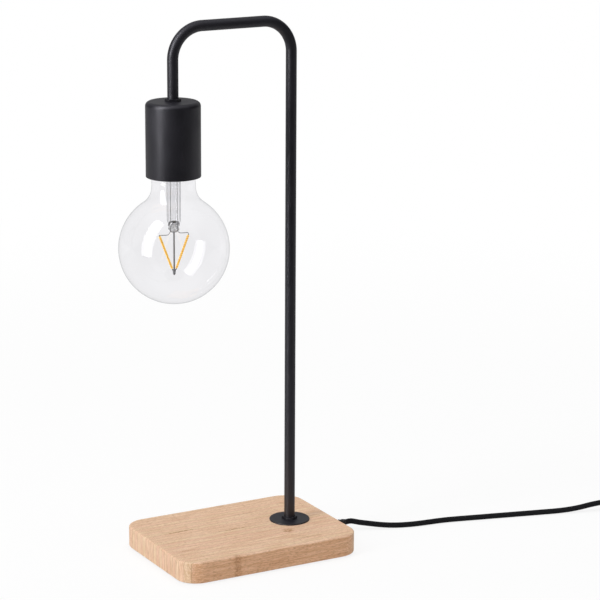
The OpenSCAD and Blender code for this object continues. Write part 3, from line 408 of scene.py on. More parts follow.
def dress_nodes(finishes: dict[str, Material]) -> None:
    """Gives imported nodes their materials.

    Args:
        finishes: a material for each node, by name.
    """
    for node, material in finishes.items():
        dress(frame["nodes"][node], material)
        LOG.info("%s: packed node, dressed", node)


def settle(obj: Piece, body: str, slot: str, *nodes: str) -> Piece:
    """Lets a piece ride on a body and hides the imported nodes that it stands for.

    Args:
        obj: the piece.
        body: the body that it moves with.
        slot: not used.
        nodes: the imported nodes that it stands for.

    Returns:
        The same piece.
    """
    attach(obj, body)
    if nodes:
        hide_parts(*nodes)
    LOG.info("%s: rides on %s, %d faces", obj.name, body, len(obj.data.polygons))
    return obj


class GeometryTree:
    """A Geometry Nodes tree with named inputs for the sizes of what it makes."""

    def __init__(self, name: str) -> None:
        """Starts an empty tree.

        Args:
            name: the tree's name.
        """
        self.tree = bpy.data.node_groups.new(name, "GeometryNodeTree")
        self.tree.interface.new_socket("Geometry", in_out="OUTPUT", socket_type="NodeSocketGeometry")
        self.entry = self.tree.nodes.new("NodeGroupInput")
        self.exit = self.tree.nodes.new("NodeGroupOutput")

    def size(self, name: str, kind: str = "Float") -> Socket:
        """Adds a named input and returns its socket inside the tree."""
        self.tree.interface.new_socket(name, in_out="INPUT", socket_type=f"NodeSocket{kind}")
        return self.entry.outputs[name]

    def add(self, kind: str, inputs: dict[int | str, object] | None = None, **settings: object) -> Node:
        """Adds a node.

        Args:
            kind: the node's type without its prefix.
            inputs: values or sockets for its inputs, by name or number.
            settings: its other properties.

        Returns:
            The new node.
        """
        prefix = "ShaderNode" if kind in ("Math", "VectorMath", "CombineXYZ") else "GeometryNode"
        node = self.tree.nodes.new(prefix + kind)
        for key, value in settings.items():
            setattr(node, key, value)
        for key, value in (inputs or {}).items():
            if isinstance(value, Socket):
                self.tree.links.new(value, node.inputs[key])
            else:
                node.inputs[key].default_value = value
        return node

    def math(self, operation: str, *values: Value) -> Socket:
        """Adds a sum of up to three values and returns its result."""
        return self.add("Math", dict(enumerate(values)), operation=operation).outputs[0]

    def vector(self, x: Value, y: Value, z: Value) -> Socket:
        """Joins three values into a vector."""
        return self.add("CombineXYZ", {0: x, 1: y, 2: z}).outputs[0]

    def join(self, *parts: Socket) -> Socket:
        """Joins several geometries.

        Args:
            parts: the geometries.

        Returns:
            One geometry.
        """
        node = self.add("JoinGeometry")
        for part in parts:
            self.tree.links.new(part, node.inputs[0])
        return node.outputs[0]

    def close(self, geometry: Socket, material: Material) -> None:
        """Ends the tree in real, smooth faces of one material.

        Args:
            geometry: what the tree makes.
            material: the material of all its faces.
        """
        real = self.add("RealizeInstances", {"Geometry": geometry})
        smooth = self.add("SetShadeSmooth", {0: real.outputs[0]})
        coat = self.add("SetMaterial", {"Geometry": smooth.outputs[0], "Material": material})
        self.tree.links.new(coat.outputs[0], self.exit.inputs[0])

    def piece(self, name: str, sizes: dict[str, float | int]) -> Piece:
        """Makes a plain object from the tree.

        Args:
            name: the object's name.
            sizes: the values of the tree's inputs, by name.

        Returns:
            The object, at the origin, with no modifier left.
        """
        obj = bpy.data.objects.new(name, bpy.data.meshes.new(name))
        form = obj.modifiers.new("form", "NODES")
        form.node_group = self.tree
        for item in self.tree.interface.items_tree:
            if item.in_out == "INPUT":
                form[item.identifier] = sizes[item.name]
        bpy.context.scene.collection.objects.link(obj)
        flatten_modifiers(obj)
        while obj.data.materials and obj.data.materials[0] is None:
            obj.data.materials.pop(index=0)
        return obj


# ---- Finishes ----


class NodeDesk:
    """Adds shader nodes to one tree."""

    def __init__(self, tree: bpy.types.NodeTree) -> None:
        """Takes a tree and empties it."""
        self.tree = tree
        tree.nodes.clear()

    def add(self, kind: str, inputs: dict[int | str, object] | None = None, **settings: object) -> Node:
        """Adds a shader node.

        Args:
            kind: the node's type without its prefix.
            inputs: values or sockets for its inputs, by name or number.
            settings: its other properties.

        Returns:
            The new node.
        """
        node = self.tree.nodes.new("ShaderNode" + kind)
        for key, value in settings.items():
            setattr(node, key, value)
        for key, value in (inputs or {}).items():
            socket = node.inputs[key]
            if isinstance(value, Socket):
                self.tree.links.new(value, socket)
            elif socket.type == "RGBA":
                socket.default_value = (*value[:3], 1.0)
            else:
                socket.default_value = value
        return node

    def place(self) -> Socket:
        """Returns the place on the object, in metres."""
        return self.add("TexCoord").outputs["Object"]

    def split(self, vector: Socket) -> tuple[Socket, ...]:
        """Returns the three parts of a vector."""
        return tuple(self.add("SeparateXYZ", {0: vector}).outputs)

    def scaled(self, vector: Socket, scale: Point) -> Socket:
        """Returns the vector times a scale along each axis."""
        return self.add("VectorMath", {0: vector, 1: scale}, operation="MULTIPLY").outputs[0]

    def math(self, operation: str, *values: Value) -> Socket:
        """Adds a sum of up to three values and returns its result."""
        return self.add("Math", dict(enumerate(values)), operation=operation).outputs[0]

    def noise(self, vector: Socket, scale: float, detail: float = 2.0,
              roughness: float = 0.5) -> Socket:
        """Adds soft noise.

        Args:
            vector: where it is read.
            scale: how many lumps fit in one unit.
            detail: how many finer layers it has.
            roughness: how strong the finer layers are.

        Returns:
            A value from 0 to 1.
        """
        node = self.add("TexNoise", {"Vector": vector, "Scale": scale, "Detail": detail,
                                     "Roughness": roughness})
        return node.outputs[0]

    def chance(self, number: Socket, shift: float) -> Socket:
        """Returns one random value from 0 to 1 for each whole number."""
        moved = self.math("ADD", number, shift)
        return self.add("TexWhiteNoise", {"W": moved}, noise_dimensions="1D").outputs["Value"]

    def ease(self, value: Socket, low: float, high: float, start: float = 0.0,
             end: float = 1.0) -> Socket:
        """Adds a smooth step.

        Args:
            value: what it follows.
            low: the value at which it starts.
            high: the value at which it ends.
            start: what it gives up to its start.
            end: what it gives from its end on.

        Returns:
            The stepped value.
        """
        node = self.add("MapRange", {"Value": value, "From Min": low, "From Max": high,
                                     "To Min": start, "To Max": end}, interpolation_type="SMOOTHSTEP")
        return node.outputs[0]

    def mix(self, share: Value, first: Value | Color, second: Value | Color,
            blend: str = "MIX") -> Socket:
        """Mixes two colours.

        Args:
            share: how much of the second colour there is.
            first: the first colour.
            second: the second colour.
            blend: how they are mixed.

        Returns:
            The mixed colour.
        """
        return self.add("Mix", {0: share, 6: first, 7: second}, data_type="RGBA",
                        blend_type=blend).outputs[2]

    def bump(self, height: Socket, distance: float, strength: float = 1.0) -> Socket:
        """Returns a normal that follows a height."""
        return self.add("Bump", {"Height": height, "Distance": distance,
                                 "Strength": strength}).outputs[0]


class ShaderDesk(NodeDesk):
    """Builds the node tree of one material."""

    def __init__(self, name: str) -> None:
        """Starts a material with an empty tree.

        Args:
            name: the material's name, without its ending.
        """
        self.material = bpy.data.materials.new(f"{name}_finish")
        self.material.use_nodes = True
        super().__init__(self.material.node_tree)

    def surface(self, inputs: dict[str, object]) -> Material:
        """Ends the material in one principled surface."""
        return self.end(self.add("BsdfPrincipled", inputs).outputs[0])

    def end(self, shader: Socket) -> Material:
        """Ends the material in the given shader."""
        self.add("OutputMaterial", {"Surface": shader})
        return self.material


@dataclass(frozen=True)
class BambooMark:
    """A knot or a dark fibre in the bamboo, as an oval seen from above."""

    x: float
    y: float
    half_l: float
    half_w: float
    depth: float


@dataclass(frozen=True)
class BambooFinish:
    """Oiled bamboo: upright strips glued side by side, with fibres along X and a few marks."""

    strip: float = 0.0054
    pale: Color = paint(246, 219, 193)
    deep: Color = paint(224, 188, 155)
    rosy: Color = (1.0, 0.900, 0.880)
    sandy: Color = (1.0, 0.995, 0.93)
    # The tint of the painted shade on the long side faces.
    side_shade_tint: Color = (0.93, 0.82, 0.70)
    fibre: Color = paint(182, 136, 102)
    mark: Color = paint(166, 114, 66)
    marks: tuple[BambooMark, ...] = (
        BambooMark(-0.0370, -0.0630, 0.0036, 0.0050, 0.55),
        BambooMark(0.0330, -0.0255, 0.0046, 0.0054, 0.75),
        BambooMark(-0.0520, 0.0168, 0.0140, 0.0012, 1.0),
        BambooMark(-0.0080, 0.0003, 0.0150, 0.0011, 0.90),
        BambooMark(0.0180, 0.0330, 0.0120, 0.0011, 0.60),
        BambooMark(0.0640, 0.0420, 0.0035, 0.0028, 0.35),
        BambooMark(-0.0300, 0.0500, 0.0036, 0.0026, 0.30),
        BambooMark(0.0100, 0.0625, 0.0034, 0.0052, 0.40),
        BambooMark(-0.0680, -0.0300, 0.0110, 0.0010, 0.60),
        BambooMark(0.0400, -0.0480, 0.0140, 0.0009, 0.55),
    )

    def material(self) -> Material:
        """Builds the material: strips and fibres first, then the marks, then painted shade on the long side
        faces.

        Returns:
            The material.
        """
        desk = ShaderDesk("bamboo")
        place = desk.place()
        x, y, height = desk.split(place)
        at_end = desk.ease(desk.math("ABSOLUTE", x), 0.0790, 0.0866)
        z = desk.math("MULTIPLY", height, desk.math("MULTIPLY_ADD", at_end, -0.93, 1.0))
        drift = desk.math("MULTIPLY_ADD", desk.noise(desk.scaled(place, (22, 40, 40)), 1.0), 0.0011, y)
        row = desk.math("DIVIDE", drift, self.strip)
        index = desk.math("FLOOR", row)
        across = desk.math("FRACT", row)
        lot = desk.chance(index, 3.0)
        long = desk.math("MULTIPLY_ADD", lot, 0.4, x)
        along = desk.add("CombineXYZ", {0: long, 1: drift, 2: z}).outputs[0]
        streaks = desk.noise(desk.scaled(along, (34, 900, 760)), 1.0, 4.0, 0.62)
        fibres = desk.noise(desk.scaled(along, (210, 3100, 2900)), 1.0, 2.0, 0.5)
        ripple = desk.noise(desk.scaled(along, (330, 1150, 1150)), 1.0, 1.0)
        color = desk.mix(desk.ease(streaks, 0.34, 0.66), self.deep, self.pale)
        odd = desk.math("FLOORED_MODULO", index, 2.0)
        tone = desk.math("MULTIPLY_ADD", lot, 0.55, desk.math("MULTIPLY", odd, 0.45))
        color = desk.mix(1.0, color, desk.mix(tone, self.rosy, self.sandy), "MULTIPLY")
        color = desk.mix(desk.ease(fibres, 0.50, 0.72, 0.0, 0.60), color, self.fibre)
        dashes = desk.math("MULTIPLY", desk.ease(ripple, 0.53, 0.66), desk.math("SUBTRACT", 1.0, at_end))
        color = desk.mix(desk.math("MULTIPLY", dashes, 0.42), color, self.fibre)
        seam = desk.math("ABSOLUTE", desk.math("SUBTRACT", across, 0.5))
        color = desk.mix(desk.ease(seam, 0.42, 0.5, 0.0, 0.55), color, self.fibre)
        flat = desk.add("CombineXYZ", {0: x, 1: drift, 2: 0.0}).outputs[0]
        spots = desk.noise(desk.scaled(place, (620, 620, 620)), 1.0, 3.0, 0.6)
        speckle = desk.ease(spots, 0.40, 0.62, 0.30, 1.15)
        for spot in self.marks:
            off = desk.add("VectorMath", {0: flat, 1: (spot.x, spot.y, 0.0)}, operation="SUBTRACT").outputs[0]
            oval = desk.scaled(off, (1 / spot.half_l, 1 / spot.half_w, 0.0))
            far = desk.add("VectorMath", {0: oval}, operation="LENGTH").outputs["Value"]
            far = desk.math("MULTIPLY_ADD", desk.math("SUBTRACT", fibres, 0.5), 1.6, far)
            far = desk.math("MULTIPLY_ADD", desk.math("SUBTRACT", ripple, 0.5), 1.8, far)
            spread = desk.math("MULTIPLY", desk.ease(far, 1.3, 0.4, 0.0, spot.depth), speckle)
            color = desk.mix(spread, color, self.mark)
        # Painted shade: the long side faces below the top are tinted darker and warmer.
        outer = desk.ease(desk.math("ABSOLUTE", y), 0.0560, 0.0638)
        outer = desk.math("MULTIPLY", outer, desk.ease(height, 0.0197, 0.0186))
        color = desk.mix(outer, color, desk.mix(1.0, color, self.side_shade_tint, "MULTIPLY"))
        relief = desk.math("SUBTRACT", desk.math("MULTIPLY", streaks, 0.6), desk.ease(seam, 0.45, 0.5))
        relief = desk.math("MULTIPLY_ADD", fibres, -0.8, relief)
        return desk.surface({
            "Base Color": color, "Roughness": desk.ease(streaks, 0.3, 0.7, 0.52, 0.42),
            "Specular IOR Level": 0.30, "Normal": desk.bump(relief, 0.00006, 0.5),
        })


@dataclass(frozen=True)
class PowderCoatFinish:
    """Matt black powder coat with the fine skin of sprayed and baked paint."""

    name: str = "black_powder_coat"
    color: Color = paint(18, 17, 24)
    worn: Color = paint(23, 22, 30)
    roughness: float = 0.45
    sheen: Color = (0.93, 0.92, 1.0)

    def material(self) -> Material:
        """Builds the material.

        Returns:
            The material.
        """
        desk = ShaderDesk(self.name)
        place = desk.place()
        skin = desk.noise(place, 2600.0, 2.0, 0.5)
        cloud = desk.noise(place, 45.0, 3.0, 0.5)
        color = desk.mix(desk.ease(cloud, 0.3, 0.7), self.color, self.worn)
        return desk.surface({
            "Base Color": color,
            "Roughness": desk.ease(cloud, 0.3, 0.7, self.roughness - 0.04, self.roughness + 0.05),
            "Specular IOR Level": 0.80, "Specular Tint": self.sheen, "Normal": desk.bump(skin, 0.00003, 0.5),
        })


@dataclass(frozen=True)
class ClearGlassFinish:
    """Thin clear glass: it lets light straight through, mirrors at its rim and greys there."""

    name: str
    body: Color
    rim: Color
    rim_from: float = 0.55
    rim_to: float = 0.97
    mirror: float = 0.55
    least: float = 0.04
    # speckle sets painted dark patches, painted shade for the refractions of a faceted knot.
    speckle: float = 0.0

    def material(self) -> Material:
        """Builds the material: a clear pass and a mirror, mixed by the angle of view.

        Returns:
            The material.
        """
        desk = ShaderDesk(self.name)
        facing = desk.add("LayerWeight", {"Blend": 0.5}).outputs["Facing"]
        cloud = desk.noise(desk.place(), 60.0, 2.0)
        edge = desk.math("ADD", facing, desk.math("MULTIPLY_ADD", cloud, 0.04, -0.02))
        tint = desk.mix(desk.ease(edge, self.rim_from, self.rim_to), self.body, self.rim)
        # Painted shade: dark patches in the clear pass stand in for the dark refractions of the knot's facets.
        painted_patch_noise = desk.noise(desk.place(), 1150.0, 1.0)
        tint = desk.mix(desk.ease(painted_patch_noise, 0.42, 0.56, self.speckle, 0.0), tint, (0.12, 0.12, 0.13))
        clear = desk.add("BsdfTransparent", {"Color": tint})
        gloss = desk.add("BsdfGlossy", {"Color": (1.0, 1.0, 1.0), "Roughness": 0.02})
        share = desk.math("MULTIPLY_ADD", desk.math("POWER", facing, 5.0), self.mirror, self.least)
        both = desk.add("MixShader", {0: share, 1: clear.outputs[0], 2: gloss.outputs[0]})
        return desk.end(both.outputs[0])


@dataclass(frozen=True)
class TextileFinish:
    """Braided black textile over a mains cord, woven in its own UV."""

    name: str = "black_textile"
    # low is painted shade between the strands and high a painted highlight on their tops.
    low: Color = paint(8, 8, 10)
    high: Color = paint(31, 31, 35)
    carriers: float = BRAID_CARRIERS
    strand: float = BRAID_STRAND

    def material(self) -> Material:
        """Builds the material: strands that pass over and under each other, with painted shade between them and
        a painted highlight on their tops.

        Returns:
            The material.
        """
        desk = ShaderDesk(self.name)
        uv = desk.add("UVMap", uv_map="UVMap").outputs[0]
        u, v, _ = desk.split(uv)
        round_it = desk.math("MULTIPLY", u, self.carriers)
        along = desk.math("DIVIDE", v, self.strand)
        left = desk.math("ADD", round_it, along)
        right = desk.math("SUBTRACT", round_it, along)
        ridges = [desk.math("SINE", desk.math("MULTIPLY", desk.math("FRACT", s), math.pi))
                  for s in (left, right)]
        count = desk.math("ADD", desk.math("FLOOR", left), desk.math("FLOOR", right))
        over = desk.math("FLOORED_MODULO", count, 2.0)
        height = desk.math("MULTIPLY", ridges[0], over)
        height = desk.math("MULTIPLY_ADD", ridges[1], desk.math("SUBTRACT", 1.0, over), height)
        twist = desk.add("CombineXYZ", {0: desk.math("MULTIPLY", u, 60.0),
                                        1: desk.math("MULTIPLY", v, 2600.0), 2: left})
        yarn = desk.noise(twist.outputs[0], 1.0, 2.0)
        # Painted light: darker between the strands and paler on their tops, times a random yarn tone.
        painted_braid_light_and_yarn_tone = desk.math("MULTIPLY", height, desk.ease(yarn, 0.2, 0.8, 0.6, 1.0))
        return desk.surface({
            "Base Color": desk.mix(painted_braid_light_and_yarn_tone, self.low, self.high), "Roughness": 0.86,
            "Specular IOR Level": 0.2, "Sheen Weight": 0.05, "Sheen Roughness": 0.4,
            "Normal": desk.bump(desk.math("MULTIPLY_ADD", yarn, 0.3, height), 0.00018, 0.8),
        })


@dataclass(frozen=True)
class MouldedFinish:
    """Moulded plastic, rubber, ceramic or lacquer of one colour with a fine grain."""

    name: str
    color: Color
    second: Color
    roughness: float = 0.5
    grain: float = 1800.0
    depth: float = 0.00002

    def material(self) -> Material:
        """Builds the material.

        Returns:
            The material.
        """
        desk = ShaderDesk(self.name)
        place = desk.place()
        grain = desk.noise(place, self.grain, 3.0, 0.6)
        cloud = desk.noise(place, 90.0, 2.0)
        color = desk.mix(desk.ease(cloud, 0.3, 0.7), self.color, self.second)
        return desk.surface({
            "Base Color": color,
            "Roughness": desk.ease(grain, 0.3, 0.7, self.roughness - 0.05, self.roughness + 0.06),
            "Normal": desk.bump(grain, self.depth, 0.5),
        })


@dataclass(frozen=True)
class MetalFinish:
    """Bare or plated metal with faint drawn lines and a little dulling."""

    name: str
    color: Color
    dull: Color
    roughness: float = 0.3
    metallic: float = 1.0
    lines: Point = (400.0, 400.0, 2600.0)

    def material(self) -> Material:
        """Builds the material.

        Returns:
            The material.
        """
        desk = ShaderDesk(self.name)
        place = desk.place()
        drawn = desk.noise(desk.scaled(place, self.lines), 1.0, 2.0)
        cloud = desk.noise(place, 140.0, 3.0)
        return desk.surface({
            "Base Color": desk.mix(desk.ease(cloud, 0.35, 0.75), self.color, self.dull),
            "Metallic": self.metallic,
            "Roughness": desk.ease(cloud, 0.3, 0.7, self.roughness - 0.05, self.roughness + 0.1),
            "Normal": desk.bump(drawn, 0.00001, 0.4),
        })


@dataclass(frozen=True)
class PhosphorFinish:
    """Silicone with phosphor round a row of chips, with a painted glow that makes the unlit filaments brighter.
    """

    name: str
    color: Color
    second: Color
    # The strength of the painted glow.
    glow: float = 0.0

    def material(self) -> Material:
        """Builds the material.

        Returns:
            The material.
        """
        desk = ShaderDesk(self.name)
        cloud = desk.noise(desk.place(), 1500.0, 2.0)
        color = desk.mix(desk.ease(cloud, 0.3, 0.7), self.color, self.second)
        # The emission is painted glow.
        return desk.surface({"Base Color": color, "Roughness": 0.45, "Emission Color": color,
                             "Emission Strength": self.glow})


def built(kind: type, *values: object) -> Material:
    """Declares a field that holds the material of a finish.

    Args:
        kind: the finish's class.
        values: the finish's own values.

    Returns:
        The field of a dataclass.
    """
    return field(default_factory=lambda: kind(*values).material())


@dataclass
class FinishRack:
    """Every finish of the lamp, each built once."""

    bamboo: Material = built(BambooFinish)
    powder: Material = built(PowderCoatFinish)
    textile: Material = built(TextileFinish)
    glass: Material = built(
        ClearGlassFinish, "clear_glass", (0.972, 0.970, 0.980), (0.84, 0.85, 0.855), 0.74, 0.99, 0.32, 0.06)
    stem_glass: Material = built(
        ClearGlassFinish, "stem_glass", (0.990, 0.990, 0.993), (0.36, 0.36, 0.39), 0.74, 0.98, 0.3, 0.03)
    tube_glass: Material = built(
        ClearGlassFinish, "tube_glass", (0.990, 0.990, 0.993), (0.44, 0.44, 0.47), 0.56, 0.80, 0.3, 0.03)
    # The knot's last value sets its painted dark patches.
    knot_glass: Material = built(
        ClearGlassFinish, "knot_glass", (0.98, 0.98, 0.98), (0.26, 0.26, 0.27), 0.28, 0.80, 0.6, 0.12, 0.42)
    steel: Material = built(MetalFinish, "zinc_steel", paint(196, 198, 202), paint(168, 168, 170))
    wire: Material = built(MetalFinish, "bulb_wire", paint(150, 150, 152), paint(124, 122, 120), 0.4, 0.35)
    brass: Material = built(MetalFinish, "contact_brass", paint(214, 182, 108), paint(184, 148, 82))
    nickel: Material = built(MetalFinish, "nickel_cap", paint(206, 203, 196), paint(184, 180, 172), 0.22)
    # The last value of the phosphor and of the chips is their painted glow.
    phosphor: Material = built(
        PhosphorFinish, "filament_phosphor", paint(255, 208, 102), paint(253, 198, 84), 0.45)
    chips: Material = built(
        PhosphorFinish, "filament_chips", paint(206, 134, 42), paint(190, 116, 32), 0.10)
    moulded: Material = built(MouldedFinish, "black_moulded", paint(30, 30, 31), paint(36, 36, 37), 0.48)
    rocker: Material = built(MouldedFinish, "rocker_plastic", paint(25, 25, 26), paint(30, 30, 31), 0.3)
    phenolic: Material = built(MouldedFinish, "phenolic", paint(26, 24, 24), paint(34, 31, 30), 0.35)
    rubber: Material = built(
        MouldedFinish, "pad_rubber", paint(44, 44, 45), paint(54, 54, 55), 0.85, 900.0, 0.00008)
    ceramic: Material = built(MouldedFinish, "ceramic", paint(233, 230, 222), paint(224, 220, 210), 0.4)
    cap_glass: Material = built(
        MouldedFinish, "cap_glass_black", paint(28, 24, 34), paint(36, 32, 44), 0.15)
    board: Material = built(MouldedFinish, "board_green", paint(34, 104, 62), paint(42, 118, 72), 0.4)
    tie: Material = built(
        MouldedFinish, "tie_fabric", paint(40, 40, 42), paint(52, 52, 54), 0.9, 2400.0, 0.0001)
    brown: Material = built(
        MouldedFinish, "brown_insulation", paint(112, 70, 40), paint(122, 78, 46), 0.45)
    blue: Material = built(
        MouldedFinish, "blue_insulation", paint(52, 88, 170), paint(60, 98, 182), 0.45)


# ---- The lamp's sub-assemblies ----


@dataclass
class BambooBase:
    """The bamboo block with its pad, ballast and clamping parts."""

    rack: FinishRack

    def build(self) -> None:
        """Dresses the base and what is let into it."""
        dress(soft_copy("bamboo_block", "base_block"), self.rack.bamboo)
        for name, node in (("flange_disc", "post_flange"), ("foot_hex_nut", "foot_nut")):
            dress(soft_copy(name, node), self.rack.powder)
        dress_nodes({
            "floor_pad": self.rack.rubber, "ballast_plate": self.rack.steel,
            "ballast_screws": self.rack.steel, "clamp_washer": self.rack.steel,
            "clamp_nut": self.rack.steel, "cord_clamp": self.rack.phenolic,
            "cord_clamp_screws": self.rack.steel, "base_cord": self.rack.moulded,
            "lead_live": self.rack.brown, "lead_neutral": self.rack.blue,
        })


@dataclass
class TubeFrame:
    """The bent steel tube: up from the base, over the arm and down into the cup."""

    rack: FinishRack
    post_x: float = 0.049
    bulb_x: float = BULB_X
    foot_z: float = 0.0079
    arm_z: float = 0.471
    end_z: float = 0.3975
    bend_r: float = 0.0275
    tube_r: float = 0.00475
    thread_r: float = 0.005
    thread_pitch: float = 0.001
    thread_depth: float = 0.0003
    thread_tops: tuple[float, float] = (0.0234, 0.4113)

    def tree(self) -> GeometryTree:
        """Builds the tree: a line with rounded corners, swept by a circle.

        Returns:
            The tree.
        """
        form = GeometryTree("tube_form")
        names = ("Post X", "Drop X", "Foot Height", "Arm Height", "End Height", "Bend Radius", "Tube Radius")
        post, drop, foot, arm, end, bend, tube = (form.size(n) for n in names)
        sides = form.size("Bend Points", "Int")
        line = form.add("MeshLine", {"Count": 4}, mode="OFFSET")
        number = form.add("InputIndex").outputs[0]
        is_drop = form.math("GREATER_THAN", number, 1.5)
        is_high = form.math("LESS_THAN", form.math("ABSOLUTE", form.math("SUBTRACT", number, 1.5)), 1.0)
        x = form.math("MULTIPLY_ADD", is_drop, form.math("SUBTRACT", drop, post), post)
        low = form.math("MULTIPLY_ADD", is_drop, form.math("SUBTRACT", end, foot), foot)
        z = form.math("MULTIPLY_ADD", is_high, form.math("SUBTRACT", arm, low), low)
        moved = form.add("SetPosition", {"Geometry": line.outputs[0], "Position": form.vector(x, 0.0, z)})
        curve = form.add("MeshToCurve", {0: moved.outputs[0]})
        soft = form.add("FilletCurve", {"Curve": curve.outputs[0], "Count": sides, "Radius": bend}, mode="POLY")
        section = form.add("CurvePrimitiveCircle", {"Resolution": 64, "Radius": tube})
        skin = form.add("CurveToMesh", {"Curve": soft.outputs[0], "Profile Curve": section.outputs[0],
                                        "Fill Caps": True})
        form.close(skin.outputs[0], self.rack.powder)
        return form

    def thread(self, name: str, x: float, low: float, high: float) -> Piece:
        """Makes a rolled thread as a sleeve of fine rings that meets the tube.

        Args:
            name: the sleeve's name.
            x: where its axis stands.
            low: the height of its lower end.
            high: the height of its upper end.

        Returns:
            The sleeve, without a material.
        """
        pitch, crest, depth = self.thread_pitch, self.thread_r, self.thread_depth
        inside = self.tube_r - depth
        outline = [(inside, low)]
        for i in range(int((high - low) / pitch)):
            z = low + i * pitch
            outline += [(crest - depth, z), (crest, z + 0.4 * pitch), (crest, z + 0.6 * pitch),
                        (crest - depth, z + pitch)]
        outline += [(inside, high)]
        return lathe(name, outline, (x, 0.0), 48)

    def build(self) -> None:
        """Makes the tube and the threads at its two ends."""
        tube = self.tree().piece("bent_tube", {
            "Post X": self.post_x, "Drop X": self.bulb_x, "Foot Height": self.foot_z,
            "Arm Height": self.arm_z, "End Height": self.end_z, "Bend Radius": self.bend_r,
            "Tube Radius": self.tube_r, "Bend Points": 28,
        })
        settle(tube, "root", "black_powder_coat", "lamp_tube")
        ends = join_pieces("tube_threads", [
            self.thread("foot_thread", self.post_x, self.foot_z, self.thread_tops[0]),
            self.thread("drop_thread", self.bulb_x, self.end_z, self.thread_tops[1]),
        ])
        settle(dress(ends, self.rack.powder), "root", "black_powder_coat")


@dataclass
class SocketCup:
    """The open cup with its nut, and the lampholder inside it."""

    rack: FinishRack
    axis: tuple[float, float] = (BULB_X, 0.0)
    top: float = 0.4091
    low: float = 0.3446
    radius: float = 0.0235
    wall: float = 0.0012
    edge: float = 0.004
    hole: float = 0.00505

    def outline(self) -> list[tuple[float, float]]:
        """Draws the cup's section.

        Returns:
            Its points, down its outside round the lip and up again, closed.
        """
        lip = self.wall / 2
        inner_r = self.radius - self.wall
        inner_edge = self.edge - self.wall
        return [
            *arc((inner_r + lip, self.low + lip), lip, 180, 360, 12),
            *arc((self.radius - self.edge, self.top - self.edge), self.edge, 0, 90, 16),
            (self.hole + 0.0004, self.top), (self.hole, self.top - 0.0004),
            (self.hole, self.top - self.wall),
            *reversed(arc((inner_r - inner_edge, self.top - self.wall - inner_edge), inner_edge, 0, 90, 12)),
        ]

    def build(self) -> None:
        """Makes the cup and dresses the lampholder."""
        cup = dress(lathe("open_cup", self.outline(), self.axis, 128), self.rack.powder)
        cup.data.set_sharp_from_angle(angle=math.radians(40))
        settle(cup, "root", "black_powder_coat", "socket_cup")
        dress(soft_copy("cup_hex_nut", "cup_nut"), self.rack.powder)
        dress(soft_copy("skirt_tube", "holder_skirt"), self.rack.phenolic)
        dress(soft_copy("holder_top_cap", "holder_cap"), self.rack.phenolic)
        dress_nodes({
            "tooth_washer": self.rack.steel, "cup_inner_nut": self.rack.steel,
            "contact_block": self.rack.ceramic, "holder_shell": self.rack.brass,
            "centre_contact": self.rack.brass, "neutral_strap": self.rack.brass,
            "terminals": self.rack.brass, "terminal_screws": self.rack.steel,
        })


class FilamentSide(Enum):
    """A side of a filament, as a turn about it, measured from the outside of the V."""

    CHIPS = math.radians(-105)
    STRIP = math.radians(75)


